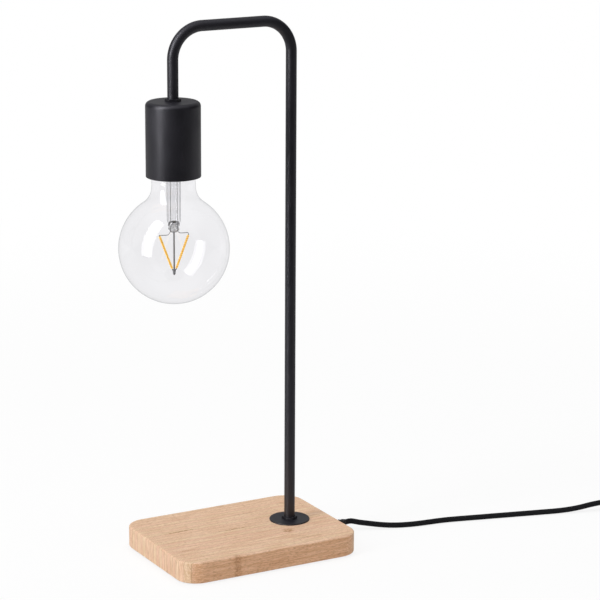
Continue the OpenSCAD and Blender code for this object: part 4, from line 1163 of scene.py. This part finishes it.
@dataclass
class GlobeBulb:
    """The globe bulb: glass, stem, wires, two filaments and the screw cap."""

    rack: FinishRack
    axis: tuple[float, float] = (BULB_X, 0.0)
    globe_z: float = 0.2822
    globe_r: float = 0.0475
    neck_r: float = 0.0188
    fillet_r: float = 0.018
    shoulder_z: float = 0.340
    seal_r: float = 0.0123
    seal_z: float = 0.3509
    stem_r: float = 0.0059
    stem_wall: float = 0.001
    flare_r: float = 0.004
    narrow: float = 0.0014
    pipe_r: float = 0.0019
    pinch_z: float = 0.2964
    pinch_l: float = 0.007
    filament_turn: float = math.radians(-15)
    filament_high: float = 0.2932
    filament_low: float = 0.2648
    filament_spread: float = 0.0124
    filament_foot: float = 0.0019
    filament_r: float = 0.00096
    chip_r: float = 0.00024
    chip_tilt: float = math.radians(40)
    chip_count: int = 17
    strip_r: float = 0.00027
    wire_r: float = 0.0003
    rod_r: float = 0.0007
    rod_low: float = 0.2636
    knot_half: tuple[float, float] = (0.0047, 0.0030)
    knot_bulge: tuple[float, ...] = (0.60, 0.94, 1.0, 0.93, 1.0, 0.98, 0.86)
    knot_sides: int = 11
    knot_seed: int = 7

    def glass_line(self, inwards: float) -> list[tuple[float, float]]:
        """Draws the glass from the bottom of the globe to the seal.

        Args:
            inwards: how far the line lies inside the outer face.

        Returns:
            The points of the line.
        """
        fillet_x = self.neck_r + self.fillet_r
        rise = math.sqrt((self.globe_r + self.fillet_r) ** 2 - fillet_x ** 2)
        lean = math.degrees(math.atan2(rise, fillet_x))
        globe = arc((0.0, self.globe_z), self.globe_r - inwards, -90, lean, 84)
        globe[0] = (0.0, self.globe_z - self.globe_r + inwards)
        hollow = arc((fillet_x, self.globe_z + rise), self.fillet_r + inwards, 180 + lean, 180, 24)
        shoulder = arc((self.seal_r, self.shoulder_z), self.neck_r - self.seal_r - inwards, 0, 90, 16)
        return [*globe, *hollow[1:], *shoulder]

    def build_glass(self) -> None:
        """Makes the blown glass envelope, closed at the seal in its cap."""
        outline = [*self.glass_line(0.0), (self.seal_r, self.seal_z), (0.0, self.seal_z)]
        envelope = dress(lathe("globe_glass", outline, self.axis, 144, closed=False), self.rack.glass)
        settle(envelope, "bulb", "clear_glass", "bulb_glass")

    def build_stem(self) -> None:
        """Makes the flared stem tube, the exhaust tube inside it and the pressed knot below it."""
        r, wall, flare, narrow = self.stem_r, self.stem_wall, self.flare_r, self.narrow
        low = self.pinch_z + self.pinch_l
        tube = [
            (self.seal_r - 0.0001, self.seal_z), (self.seal_r - 0.0001, self.seal_z + wall),
            *arc((r + flare, self.seal_z - flare), flare + wall, 90, 180, 14),
            (r - wall, low + 0.0046), (r - wall - 0.0002, low + 0.0034), (r - narrow - wall, low),
            (r - narrow, low), (r - 0.0003, low + 0.0026), (r, low + 0.0042),
            *arc((r + flare, self.seal_z - flare), flare, 180, 90, 14),
        ]
        stem = dress(lathe("stem_tube", tube, self.axis, 96), self.rack.tube_glass)
        both = join_kept("stem_tube_and_knot", [stem, self.pinch_knot()])
        settle(both, "bulb", "clear_glass", "bulb_stem")
        end = self.seal_z + 0.008
        pipe = [(0.0, low - 0.002), (self.pipe_r, low - 0.002), (self.pipe_r, end), (0.0, end)]
        exhaust = dress(lathe("exhaust_pipe", pipe, self.axis, 64, closed=False), self.rack.stem_glass)
        settle(exhaust, "bulb", "clear_glass", "exhaust_tube")

    def pinch_knot(self) -> Piece:
        """Makes the knot of pressed glass that holds the wires, with a lumpy rim.

        Returns:
            The knot.
        """
        verts, faces = [], []
        rows, sides = len(self.knot_bulge) - 1, self.knot_sides
        wide, thick = self.knot_half
        chance = random.Random(self.knot_seed)
        ca, sa = math.cos(self.filament_turn), math.sin(self.filament_turn)
        for i, bulge in enumerate(self.knot_bulge):
            share = i / rows
            z = self.pinch_z + (self.pinch_l + 0.0022) * share
            for k in range(sides):
                a = math.tau * (k + 0.5 * (i % 2)) / sides
                lump = bulge * (1 + 0.30 * (chance.random() - 0.5))
                across, deep = wide * lump * math.cos(a), (thick + 0.0014 * share) * lump * math.sin(a)
                lift = 0.0011 * (chance.random() - 0.5) if 0 < i < rows else 0.0
                verts.append((self.axis[0] + across * ca - deep * sa,
                              self.axis[1] + across * sa + deep * ca, z + lift))
        for i in range(rows):
            for k in range(sides):
                n, low, high = (k + 1) % sides, i * sides, (i + 1) * sides
                if i % 2:
                    faces += [(low + k, low + n, high + n), (low + k, high + n, high + k)]
                else:
                    faces += [(low + k, low + n, high + k), (low + n, high + n, high + k)]
        faces.append(tuple(reversed(range(sides))))
        faces.append(tuple(range(rows * sides, (rows + 1) * sides)))
        return dress(mesh_piece("pinch_knot", verts, faces, smooth=False), self.rack.knot_glass)

    def spot(self, across: float, z: float) -> Vector:
        """Finds a point in the plane of the filaments.

        Args:
            across: its distance from the bulb's axis.
            z: its height.

        Returns:
            The point.
        """
        return Vector((self.axis[0] + across * math.cos(self.filament_turn),
                       self.axis[1] + across * math.sin(self.filament_turn), z))

    def filament_tree(self) -> GeometryTree:
        """Builds the tree of one filament: a round coat with a row of tilted chips on one side.

        Returns:
            The tree.
        """
        form = GeometryTree("filament_form")
        names = ("Length", "Radius", "Chip", "Tilt", "Facing", "Core", "Core Facing")
        length, radius, chip, tilt, facing, core, core_facing = (form.size(n) for n in names)
        count = form.size("Chips", "Int")
        lean, turn = form.size("Lean"), form.size("Turn")
        place = form.size("Place", "Vector")
        line = form.add("CurvePrimitiveLine", {"Start": (0.0, 0.0, 0.0), "End": form.vector(0.0, 0.0, length)})
        section = form.add("CurvePrimitiveCircle", {"Resolution": 28, "Radius": radius})
        coat = form.add("CurveToMesh", {"Curve": line.outputs[0], "Profile Curve": section.outputs[0],
                                        "Fill Caps": True})
        step = form.math("DIVIDE", length, form.math("ADD", count, 0.6))
        first = form.vector(0.0, 0.0, form.math("MULTIPLY", step, 0.8))
        row = form.add("MeshLine", {"Count": count, "Start Location": first,
                                    "Offset": form.vector(0.0, 0.0, step)}, mode="OFFSET")
        bow = form.add("CurveArc", {"Resolution": 14, "Radius": radius, "Start Angle": math.radians(-75),
                                    "Sweep Angle": math.radians(150)}, mode="RADIUS")
        wire = form.add("CurvePrimitiveCircle", {"Resolution": 8, "Radius": chip})
        ring = form.add("CurveToMesh", {"Curve": bow.outputs[0], "Profile Curve": wire.outputs[0],
                                        "Fill Caps": True})
        tilted = form.add("Transform", {"Geometry": ring.outputs[0], "Rotation": form.vector(tilt, 0.0, 0.0)})
        faced = form.add("Transform", {"Geometry": tilted.outputs[0],
                                       "Rotation": form.vector(0.0, 0.0, facing)})
        chips = form.add("InstanceOnPoints", {"Points": row.outputs[0], "Instance": faced.outputs[0]})
        edge = form.math("MULTIPLY", radius, 0.80)
        foot, head = (form.vector(edge, 0.0, form.math("MULTIPLY", length, share)) for share in (0.03, 0.97))
        rail = form.add("CurvePrimitiveLine", {"Start": foot, "End": head})
        bead = form.add("CurvePrimitiveCircle", {"Resolution": 12, "Radius": core})
        strip = form.add("CurveToMesh", {"Curve": rail.outputs[0], "Profile Curve": bead.outputs[0],
                                         "Fill Caps": True})
        turned = form.add("Transform", {"Geometry": strip.outputs[0],
                                        "Rotation": form.vector(0.0, 0.0, core_facing)})
        real = form.add("RealizeInstances", {"Geometry": form.join(chips.outputs[0], turned.outputs[0])})
        dark = form.add("SetMaterial", {"Geometry": real.outputs[0], "Material": self.rack.chips})
        pale = form.add("SetMaterial", {"Geometry": coat.outputs[0], "Material": self.rack.phosphor})
        both = form.join(pale.outputs[0], dark.outputs[0])
        leaned = form.add("Transform", {"Geometry": both, "Rotation": form.vector(0.0, lean, turn)})
        placed = form.add("Transform", {"Geometry": leaned.outputs[0], "Translation": place})
        smooth = form.add("SetShadeSmooth", {0: placed.outputs[0]})
        form.tree.links.new(smooth.outputs[0], form.exit.inputs[0])
        return form

    def build_filaments(self) -> None:
        """Makes both filaments, from the foot of the V up to their wires."""
        form = self.filament_tree()
        parts = []
        for side in (-1, 1):
            start = self.spot(side * self.filament_foot, self.filament_low)
            end = self.spot(side * self.filament_spread, self.filament_high)
            way = end - start
            parts.append(form.piece(f"filament_{side}", {
                "Length": way.length, "Radius": self.filament_r, "Chip": self.chip_r,
                "Tilt": self.chip_tilt, "Facing": FilamentSide.CHIPS.value, "Chips": self.chip_count,
                "Core": self.strip_r, "Core Facing": FilamentSide.STRIP.value,
                "Lean": math.atan2(math.hypot(way.x, way.y), way.z), "Turn": math.atan2(way.y, way.x),
                "Place": tuple(start),
            }))
        both = join_kept("filament_pair", parts)
        settle(both, "bulb", "filament_phosphor", "filaments")

    def build_wires(self) -> None:
        """Makes the two wires, the middle rod and the sleeve that holds the filaments' feet."""
        high, wires = self.filament_high, []
        for side, rise in ((-1, 0.0009), (1, 0.0022)):
            z = high + rise
            route = [self.spot(side * across, at) for across, at in (
                (0.0030, self.seal_z + 0.004), (0.0030, self.pinch_z + self.pinch_l + 0.001),
                (0.0031, self.pinch_z + 0.0008), (0.0048, z + 0.0004), (0.0056, z), (0.0100, z), (0.0119, z),
                (0.01275, high + 0.0008), (self.filament_spread, high),
            )]
            wires.append(swept_tube(f"wire_{side}", smooth_path(route, 0.0004), self.wire_r, 10))
        leads = dress(join_pieces("filament_leads", wires), self.rack.wire)
        settle(leads, "bulb", "bulb_wire", "filament_wires")
        r, low = self.rod_r, self.rod_low
        rod = [(0.0, low), (r, low), (r, self.pinch_z), (0.0, self.pinch_z)]
        rod_piece = dress(lathe("middle_rod", rod, self.axis, 32, closed=False), self.rack.wire)
        rod_piece.data.set_sharp_from_angle(angle=math.radians(40))
        settle(rod_piece, "bulb", "bulb_wire", "support_rod")
        dress(soft_copy("foot_sleeve", "filament_sleeve"), self.rack.wire)

    def build(self) -> None:
        """Makes the whole bulb."""
        self.build_glass()
        self.build_stem()
        self.build_filaments()
        self.build_wires()
        dress(soft_copy("screw_cap", "bulb_cap", 50.0), self.rack.nickel)
        dress_nodes({
            "cap_insulator": self.rack.cap_glass, "cap_contact": self.rack.nickel,
            "driver_board": self.rack.board, "driver_parts": self.rack.phenolic,
        })


@dataclass
class StrainRelief:
    """A tapered and ribbed sleeve where a cord leaves a housing."""

    rack: FinishRack
    tip_r: float = 0.0031
    rib: float = 0.0003
    from_switch: float = 0.0309
    base_at: Point = (0.0872, 0.0, 0.0075)
    plug_at: Point = (0.5129, -0.040, 0.00685)

    def tree(self) -> GeometryTree:
        """Builds the tree: a tapered sleeve along +X with a row of ribs that get smaller.

        Returns:
            The tree.
        """
        form = GeometryTree("relief_form")
        length, root, tip, rib = (form.size(n) for n in ("Length", "Root Radius", "Tip Radius", "Rib"))
        count = form.size("Ribs", "Int")
        place, turn = form.size("Place", "Vector"), form.size("Turn")
        line = form.add("CurvePrimitiveLine", {"Start": (0.0, 0.0, 0.0), "End": form.vector(length, 0.0, 0.0)})
        fine = form.add("ResampleCurve", {"Curve": line.outputs[0], "Count": 24}, mode="COUNT")
        share = form.add("SplineParameter").outputs[0]
        inner = form.math("MULTIPLY_ADD", share, form.math("SUBTRACT", tip, root), root)
        radius = form.math("SUBTRACT", inner, rib)
        section = form.add("CurvePrimitiveCircle", {"Resolution": 40, "Radius": 1.0})
        skin = form.add("CurveToMesh", {"Curve": fine.outputs[0], "Profile Curve": section.outputs[0],
                                        "Scale": radius, "Fill Caps": True})
        step = form.math("DIVIDE", length, form.math("ADD", count, 0.25))
        first = form.vector(form.math("MULTIPLY", step, 0.62), 0.0, 0.0)
        row = form.add("MeshLine", {"Count": count, "Start Location": first,
                                    "Offset": form.vector(step, 0.0, 0.0)}, mode="OFFSET")
        hoop = form.add("CurvePrimitiveCircle", {"Resolution": 40, "Radius": 1.0})
        wire = form.add("CurvePrimitiveCircle", {"Resolution": 10, "Radius": 0.16})
        ring = form.add("CurveToMesh", {"Curve": hoop.outputs[0], "Profile Curve": wire.outputs[0]})
        flat = form.add("Transform", {"Geometry": ring.outputs[0], "Rotation": (0.0, math.pi / 2, 0.0),
                                      "Scale": (1.0, 1.0, 1.6)})
        number = form.add("InputIndex").outputs[0]
        down = form.math("DIVIDE", form.math("ADD", number, 0.62), form.math("ADD", count, 0.25))
        size = form.math("MULTIPLY_ADD", down, form.math("SUBTRACT", tip, root), root)
        size = form.math("DIVIDE", size, 1.165)
        ribs = form.add("InstanceOnPoints", {"Points": row.outputs[0], "Instance": flat.outputs[0],
                                             "Scale": form.vector(size, size, size)})
        both = form.join(skin.outputs[0], ribs.outputs[0])
        turned = form.add("Transform", {"Geometry": both, "Rotation": form.vector(0.0, 0.0, turn)})
        placed = form.add("Transform", {"Geometry": turned.outputs[0], "Translation": place})
        form.close(placed.outputs[0], self.rack.moulded)
        return form

    def build(self) -> dict[str, Piece]:
        """Makes the four reliefs.

        Returns:
            The reliefs, by name.
        """
        form = self.tree()
        along = SWITCH_TURN
        reach = self.from_switch * Vector((math.cos(along), math.sin(along), 0.0))
        inlet, outlet = Vector(SWITCH_AT) - reach, Vector(SWITCH_AT) + reach
        made = {}
        for name, node, place, turn, length, root, ribs in (
            ("base_relief", "cord_relief", self.base_at, 0.0, 0.0196, 0.0042, 5),
            ("switch_relief_inlet", "switch_relief_in", inlet, along + math.pi, 0.0199, 0.0042, 5),
            ("switch_relief_outlet", "switch_relief_out", outlet, along, 0.0199, 0.0042, 5),
            ("plug_sleeve", "plug_relief", self.plug_at, math.pi / 2, 0.0259, 0.0046, 6),
        ):
            made[name] = form.piece(name, {
                "Length": length, "Root Radius": root, "Tip Radius": self.tip_r, "Rib": self.rib,
                "Ribs": ribs, "Place": tuple(place), "Turn": turn,
            })
            settle(made[name], "root", "black_moulded", node)
        return made


@dataclass
class InlineSwitch:
    """The rocker switch on the cord."""

    rack: FinishRack

    def build(self) -> list[Piece | str]:
        """Dresses the switch.

        Returns:
            Its pieces.
        """
        shells = [dress(soft_copy(name, node), self.rack.moulded) for name, node in (
            ("switch_lower_shell", "switch_base"), ("switch_upper_shell", "switch_cover"))]
        rocker = dress(soft_copy("rocker_button", "switch_rocker"), self.rack.rocker)
        inside = {
            "switch_pin": self.rack.steel, "switch_contact_bar": self.rack.brass,
            "switch_terminals": self.rack.brass, "switch_cores": self.rack.brown,
            "switch_screws": self.rack.steel,
        }
        dress_nodes(inside)
        return [*shells, rocker, *inside]


@dataclass
class FlatPlug:
    """The flat two-pin plug with its grip, and the tie round the coil."""

    rack: FinishRack
    at: Point = (0.5129, -0.076, 0.00685)
    width: float = 0.0353
    thickness: float = 0.0137
    length: float = 0.036
    waist: float = 0.0303
    rear_w: float = 0.013
    rear_t: float = 0.0111
    edge: float = 0.0015
    corner: float = 0.0034
    bend_at: float = 0.45
    groove: float = 0.00045
    grooved: tuple[float, float] = (0.016, 0.0300)
    groove_pitch: float = 0.0028
    tie_y: float = -0.030
    tie_low: tuple[float, float] = (0.3896, 0.0)
    tie_high: tuple[float, float] = (0.4155, 0.01145)
    tie_ribs: int = 15

    def station(self, far: float) -> tuple[float, float]:
        """Works out the section of the plug.

        Args:
            far: the distance from its front face.

        Returns:
            Its width and its thickness.
        """
        share, bend = far / self.length, self.bend_at
        past = max(0.0, (share - bend) / (1 - bend))
        if share < bend:
            width = self.width + (self.waist - self.width) * share / bend
        else:
            width = self.waist + (self.rear_w - self.waist) * past ** 1.35
        return width, self.thickness + (self.rear_t - self.thickness) * past

    def strap(self) -> Piece:
        """Makes the woven strap round the coil: a flat loop with round corners and ribbed faces.

        Returns:
            The strap, without a material.
        """
        (left, low), (right, high) = self.tie_low, self.tie_high
        corner, thick, half_w = 0.0031, 0.0005, 0.003
        steps = 2 * self.tie_ribs
        section = [(thick * 0.12 * (i % 2), -half_w + 2 * half_w * i / steps) for i in range(steps + 1)]
        section += [(thick, w) for _, w in reversed(section)]
        loop = []
        for cx, cz, first in ((right - corner, high - corner, 0), (left + corner, high - corner, 90),
                              (left + corner, low + corner, 180), (right - corner, low + corner, 270)):
            for i in range(9):
                a = math.radians(first + 90 * i / 8)
                loop.append((cx, cz, math.cos(a), math.sin(a)))
        verts, faces = [], []
        for cx, cz, c, s in loop:
            verts += [(cx + (corner - d) * c, self.tie_y + w, cz + (corner - d) * s) for d, w in section]
        n = len(section)
        for i in range(len(loop)):
            j = (i + 1) % len(loop)
            faces += [(i * n + k, i * n + (k + 1) % n, j * n + (k + 1) % n, j * n + k) for k in range(n)]
        return mesh_piece("coil_strap", verts, faces)

    def body(self) -> Piece:
        """Makes the plug's body as rounded sections from its face to its rear.

        Returns:
            The body, without a material.
        """
        stops = [0.0, 0.0004, 0.0015, *(0.0015 + (self.length - 0.003) * i / 22 for i in range(1, 23)),
                 self.length - 0.0004, self.length]
        verts, faces = [], []
        sides = 48
        for far in stops:
            w, t = self.station(far)
            near_end = min(far, self.length - far)
            inset = self.edge - math.sqrt(max(0.0, self.edge ** 2 - max(0.0, self.edge - near_end) ** 2))
            first, last = self.grooved
            wave = math.sin(math.pi * (far - first) / self.groove_pitch) if first < far < last else 0.0
            w, t = w - 2 * inset - self.groove * max(0.0, wave), t - 2 * inset
            r = min(self.corner, t / 2 - 0.0001)
            for k in range(sides):
                a = math.tau * (k + 0.5) / sides
                across = math.copysign(w / 2 - r, math.cos(a)) + r * math.cos(a)
                up = math.copysign(t / 2 - r, math.sin(a)) + r * math.sin(a)
                verts.append((self.at[0] + across, self.at[1] + far, self.at[2] + up))
        for i in range(len(stops) - 1):
            for k in range(sides):
                n = (k + 1) % sides
                faces.append((i * sides + k, (i + 1) * sides + k, (i + 1) * sides + n, i * sides + n))
        faces.append(tuple(range(sides)))
        rear = (len(stops) - 1) * sides
        faces.append(tuple(reversed(range(rear, rear + sides))))
        return mesh_piece("plug_grip", verts, faces)

    def build(self) -> list[Piece | str]:
        """Makes the plug and the strap, and dresses the pins.

        Returns:
            Their pieces.
        """
        body = dress(self.body(), self.rack.moulded)
        body.data.set_sharp_from_angle(angle=math.radians(50))
        settle(body, "root", "black_moulded", "plug_body")
        pins = {"plug_pins": self.rack.nickel, "pin_sleeves": self.rack.moulded}
        dress_nodes(pins)
        tie = dress(self.strap(), self.rack.tie)
        settle(tie, "root", "tie_fabric", "coil_tie")
        return [body, tie, *pins]


# ---- The cord and what is on it ----


@dataclass
class MainsCord:
    """The black textile cord: from the base to the switch, on to the coil and out to the plug."""

    rack: FinishRack
    diameter: float = 0.005
    braid: float = 0.00010
    exit: Point = (0.107, 0.0, 0.0075)
    switch_reach: float = 0.051
    coil_at: tuple[float, float] = (0.432, -0.030)
    coil_turns: int = 7
    coil_pitch: float = 0.00545
    coil_outer: float = 0.039
    coil_low: float = 0.003
    plug_in: Point = (0.5129, -0.014, 0.00685)
    straight: float = 0.006

    def switch_end(self, side: int) -> tuple[Vector, Vector]:
        """Finds where the cord meets the switch.

        Args:
            side: -1 for the end towards the lamp, 1 for the other end.

        Returns:
            The point, and the switch's direction.
        """
        way = Vector((math.cos(SWITCH_TURN), math.sin(SWITCH_TURN), 0.0))
        return Vector(SWITCH_AT) + side * self.switch_reach * way, way

    def path_to_switch(self) -> list[Vector]:
        """Draws the cord from the base to the switch.

        Returns:
            Its points.
        """
        start = Vector(self.exit)
        end, way = self.switch_end(-1)
        route = metres(ROUTE_TO_SWITCH)
        points = [start, start + Vector((self.straight, 0, 0)), *route, end - self.straight * way, end]
        return smooth_path(points, 0.00065)

    def coil_path(self) -> list[Vector]:
        """Draws the coil: in on the table, and out again above itself.

        Returns:
            Its points.
        """
        half = self.coil_turns / 2
        least = self.coil_outer - self.coil_pitch * half
        points = []
        for i in range(self.coil_turns * 24 + 1):
            turn = i / 24
            climb = min(1.0, max(0.0, (turn - half + 0.25) / 0.5))
            r = least + self.coil_pitch * abs(turn - half)
            a = math.tau * turn
            points.append(Vector((self.coil_at[0] + r * math.cos(a), self.coil_at[1] + r * math.sin(a),
                                  self.coil_low + self.coil_pitch * climb)))
        return points

    def path_to_plug(self) -> list[Vector]:
        """Draws the cord from the switch through the coil to the plug.

        Returns:
            Its points.
        """
        start, way = self.switch_end(1)
        wound = self.coil_path()
        end = Vector(self.plug_in)
        square = Vector((0, self.straight, 0))
        points = [start, start + self.straight * way, *metres(ROUTE_TO_COIL), wound[0] - square * 0.5,
                  *wound, wound[-1] + square, *metres(ROUTE_TO_PLUG), end + square, end]
        return smooth_path(points, 0.0013)

    def build(self, switch: list[Piece | str], plug: list[Piece | str]) -> None:
        """Args:
            switch: not used.
            plug: not used.
        """
        first, second = self.path_to_switch(), self.path_to_plug()
        to_switch = swept_tube("mains_cord_to_switch", first, self.diameter / 2, 40, self.braid)
        settle(dress(to_switch, self.rack.textile), "root", "black_textile", "cord_to_switch")
        to_plug = swept_tube("mains_cord_to_plug", second, self.diameter / 2, 24)
        settle(dress(to_plug, self.rack.textile), "root", "black_textile",
               "cord_to_coil", "cord_coil", "cord_to_plug")
        LOG.info("cord: %.3f m to the switch, %.3f m to the plug", path_length(first), path_length(second))


ROUTE_TO_SWITCH: list[Point] = [
    (120, -4, 6.3), (128, -8, 5.1), (136, -12, 4), (144, -15.5, 3.2), (152, -18.3, 2.7),
    (160, -20.7, 2.55), (168, -22.6, 2.55), (176, -23.8, 2.55), (184, -24.7, 2.55), (192, -25.6, 2.55),
    (200, -27, 2.55), (208, -28.9, 2.55), (216, -31, 2.55), (224, -33.2, 2.55), (232, -35.4, 2.55),
    (242, -38, 2.55), (254, -41.3, 2.55), (266, -44.5, 2.55), (278, -47.8, 2.55), (290, -51, 2.55),
    (302, -54.3, 2.6), (314, -57.5, 3.1), (325, -60.4, 4.3), (336, -63.3, 6.2),
]
ROUTE_TO_COIL: list[Point] = [
    (466, -96.5, 6.9), (475, -93, 5.3), (482, -86, 4), (484.8, -77, 3.3), (483.8, -67, 3),
    (480.3, -57, 3), (476, -48, 3), (472.5, -41.5, 3),
]
ROUTE_TO_PLUG: list[Point] = [
    (471, -18, 7.9), (471, -11, 6.8), (471.3, -4, 5.5), (473, 4, 4), (477.5, 11, 3), (484, 15.7, 2.6),
    (492, 17.4, 2.55), (500, 15.7, 2.6), (506.6, 11, 3), (511, 4, 4.1), (512.7, -3, 5.6),
]


# ---- Studio ----


@dataclass
class StudioCamera:
    """The camera, at the photograph's viewing angle."""

    target: Point = (0.05876, 0.0, 0.222084)
    distance: float = 2.199986
    azimuth: float = math.radians(-29.255)
    elevation: float = math.radians(14.233)
    roll: float = math.radians(0.289)
    lens: float = 149.742

    def build(self) -> None:
        """Makes the camera and hands it to the scene."""
        ca, sa = math.cos(self.azimuth), math.sin(self.azimuth)
        ce, se = math.cos(self.elevation), math.sin(self.elevation)
        back = Vector((sa * ce, -ca * ce, se))
        right = Vector((ca, sa, 0.0))
        up = back.cross(right)
        cr, sr = math.cos(self.roll), math.sin(self.roll)
        across, upright = cr * right + sr * up, cr * up - sr * right
        data = bpy.data.cameras.new("studio_camera")
        data.lens = self.lens
        data.sensor_width = 36.0
        data.sensor_fit = "HORIZONTAL"
        data.clip_start, data.clip_end = 0.05, 50.0
        camera = bpy.data.objects.new("studio_camera", data)
        bpy.context.scene.collection.objects.link(camera)
        spot = Vector(self.target) + self.distance * back
        turned = Matrix((across, upright, back)).transposed()
        camera.matrix_world = Matrix.Translation(spot) @ turned.to_4x4()
        bpy.context.scene.camera = camera


class LampReach(Enum):
    """What a lamp acts on."""

    ALL = "all"
    MATT_ONLY = "matt"
    GLOSS_ONLY = "gloss"


@dataclass
class Studio:
    """Pale floor, white surroundings and soft lamps."""

    floor_half: float = 6.0
    floor_color: Color = (0.92, 0.92, 0.92)
    floor_mirrored: tuple[float, float] = (0.06, 0.50)
    near_white: float = 0.84
    shadow_reach: tuple[float, float] = (0.25, 1.4)
    daylight: float = 0.376
    dark_side: float = 0.016
    back_wall: float = 0.36
    key_power: float = 30.5
    top_power: float = 24.0
    fill_power: float = 1.6
    card_power: float = 26.0
    overhead: float = 0.60

    def floor(self) -> None:
        """Makes the floor: white to the camera but for the lamp's shadow, and darker in front for a mirror."""
        s = self.floor_half
        corners = [(-s, -s, 0), (s, -s, 0), (s, s, 0), (-s, s, 0)]
        plane = mesh_piece("studio_floor", corners, [(0, 1, 2, 3)], smooth=False)
        desk = ShaderDesk("studio_floor")
        path = desk.add("LightPath").outputs
        place = desk.place()
        far = desk.add("VectorMath", {0: place}, operation="LENGTH").outputs["Value"]
        behind = desk.add("VectorMath", {0: place, 1: (*BEHIND, 0.0)}, operation="DOT_PRODUCT").outputs["Value"]
        seen = desk.math("MAXIMUM", path["Is Camera Ray"], path["Is Transmission Ray"])
        matt = desk.add("BsdfDiffuse", {"Color": self.floor_color})
        white = desk.add("Emission", {"Color": WHITE, "Strength": 1.0})
        share = desk.math("MULTIPLY", seen, desk.ease(far, *self.shadow_reach, self.near_white, 1.0))
        both = desk.add("MixShader", {0: share, 1: matt.outputs[0], 2: white.outputs[0]})
        glow = desk.ease(behind, -0.80, 0.15, *self.floor_mirrored)
        mirrored = desk.add("Emission", {"Color": WHITE, "Strength": glow})
        whole = desk.add("MixShader", {0: path["Is Glossy Ray"], 1: both.outputs[0], 2: mirrored.outputs[0]})
        dress(plane, desk.end(whole.outputs[0]))

    def world(self) -> None:
        """Makes the surroundings: white for the camera, and dimmer where a dark studio would be."""
        world = bpy.data.worlds.new("studio_world")
        bpy.context.scene.world = world
        world.use_nodes = True
        desk = NodeDesk(world.node_tree)
        path = desk.add("LightPath").outputs
        way = desk.add("TexCoord").outputs["Generated"]
        lean = desk.add("VectorMath", {0: way, 1: (*BEHIND, 0.10)}, operation="DOT_PRODUCT").outputs["Value"]
        glow = desk.ease(lean, 0.25, 0.95, self.dark_side, self.back_wall)
        above = desk.ease(desk.split(way)[2], 0.45, 0.95, 0.0, self.overhead)
        mirrored = desk.math("MAXIMUM", glow, above)
        strength = desk.add("Mix", {0: path["Is Glossy Ray"], 2: self.daylight, 3: mirrored}).outputs[0]
        clear = desk.math("MAXIMUM", path["Is Camera Ray"], path["Is Transmission Ray"])
        final = desk.add("Mix", {0: clear, 2: strength, 3: 1.0}).outputs[0]
        back = desk.add("Background", {"Color": WHITE, "Strength": final})
        desk.add("OutputWorld", {"Surface": back.outputs[0]})

    def lamp(self, name: str, spot: Point, aim: Point, size: tuple[float, float], power: float,
             reach: LampReach = LampReach.ALL) -> None:
        """Hangs one soft rectangular lamp.

        Args:
            name: the lamp's name.
            spot: where it hangs.
            aim: the point that it looks at.
            size: its width and height.
            power: its power in watts.
            reach: what it acts on.
        """
        data = bpy.data.lights.new(name, "AREA")
        data.shape = "RECTANGLE"
        data.size, data.size_y = size
        data.energy = power
        lamp = bpy.data.objects.new(name, data)
        way = Vector(aim) - Vector(spot)
        lamp.visible_glossy = reach is not LampReach.MATT_ONLY
        lamp.visible_diffuse = reach is not LampReach.GLOSS_ONLY
        lamp.matrix_world = Matrix.Translation(spot) @ way.to_track_quat("-Z", "Y").to_matrix().to_4x4()
        bpy.context.scene.collection.objects.link(lamp)

    def build(self) -> None:
        """Makes the floor, the surroundings and the lamps."""
        self.floor()
        self.world()
        middle = (-0.02, 0.0, 0.30)
        self.lamp("key_softbox", (-1.9, -0.22, 1.15), middle, (0.46, 3.1), self.key_power)
        self.lamp("top_softbox", (0.2, 0.2, 2.3), (0.0, 0.0, 0.0), (1.6, 1.6), self.top_power,
                  LampReach.MATT_ONLY)
        self.lamp("key_card", (-1.95, -0.20, 1.15), middle, (1.0, 3.1), self.card_power,
                  LampReach.GLOSS_ONLY)
        self.lamp("front_softbox", (1.0, -1.9, 1.10), (0.0, 0.0, 0.3), (0.60, 3.0), self.fill_power)
        bpy.context.scene.view_settings.view_transform = "Standard"


def main() -> None:
    """Dresses the lamp, then lights it."""
    logging.basicConfig(level=logging.INFO, format="%(message)s")
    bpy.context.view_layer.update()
    rack = FinishRack()
    StudioCamera().build()
    reliefs = StrainRelief(rack).build()
    switch = InlineSwitch(rack).build()
    plug = FlatPlug(rack).build()
    MainsCord(rack).build([*switch, reliefs["switch_relief_inlet"]],
                          [*plug, reliefs["switch_relief_outlet"], reliefs["plug_sleeve"]])
    BambooBase(rack).build()
    TubeFrame(rack).build()
    SocketCup(rack).build()
    GlobeBulb(rack).build()
    Studio().build()


if __name__ == "__main__":
    main()
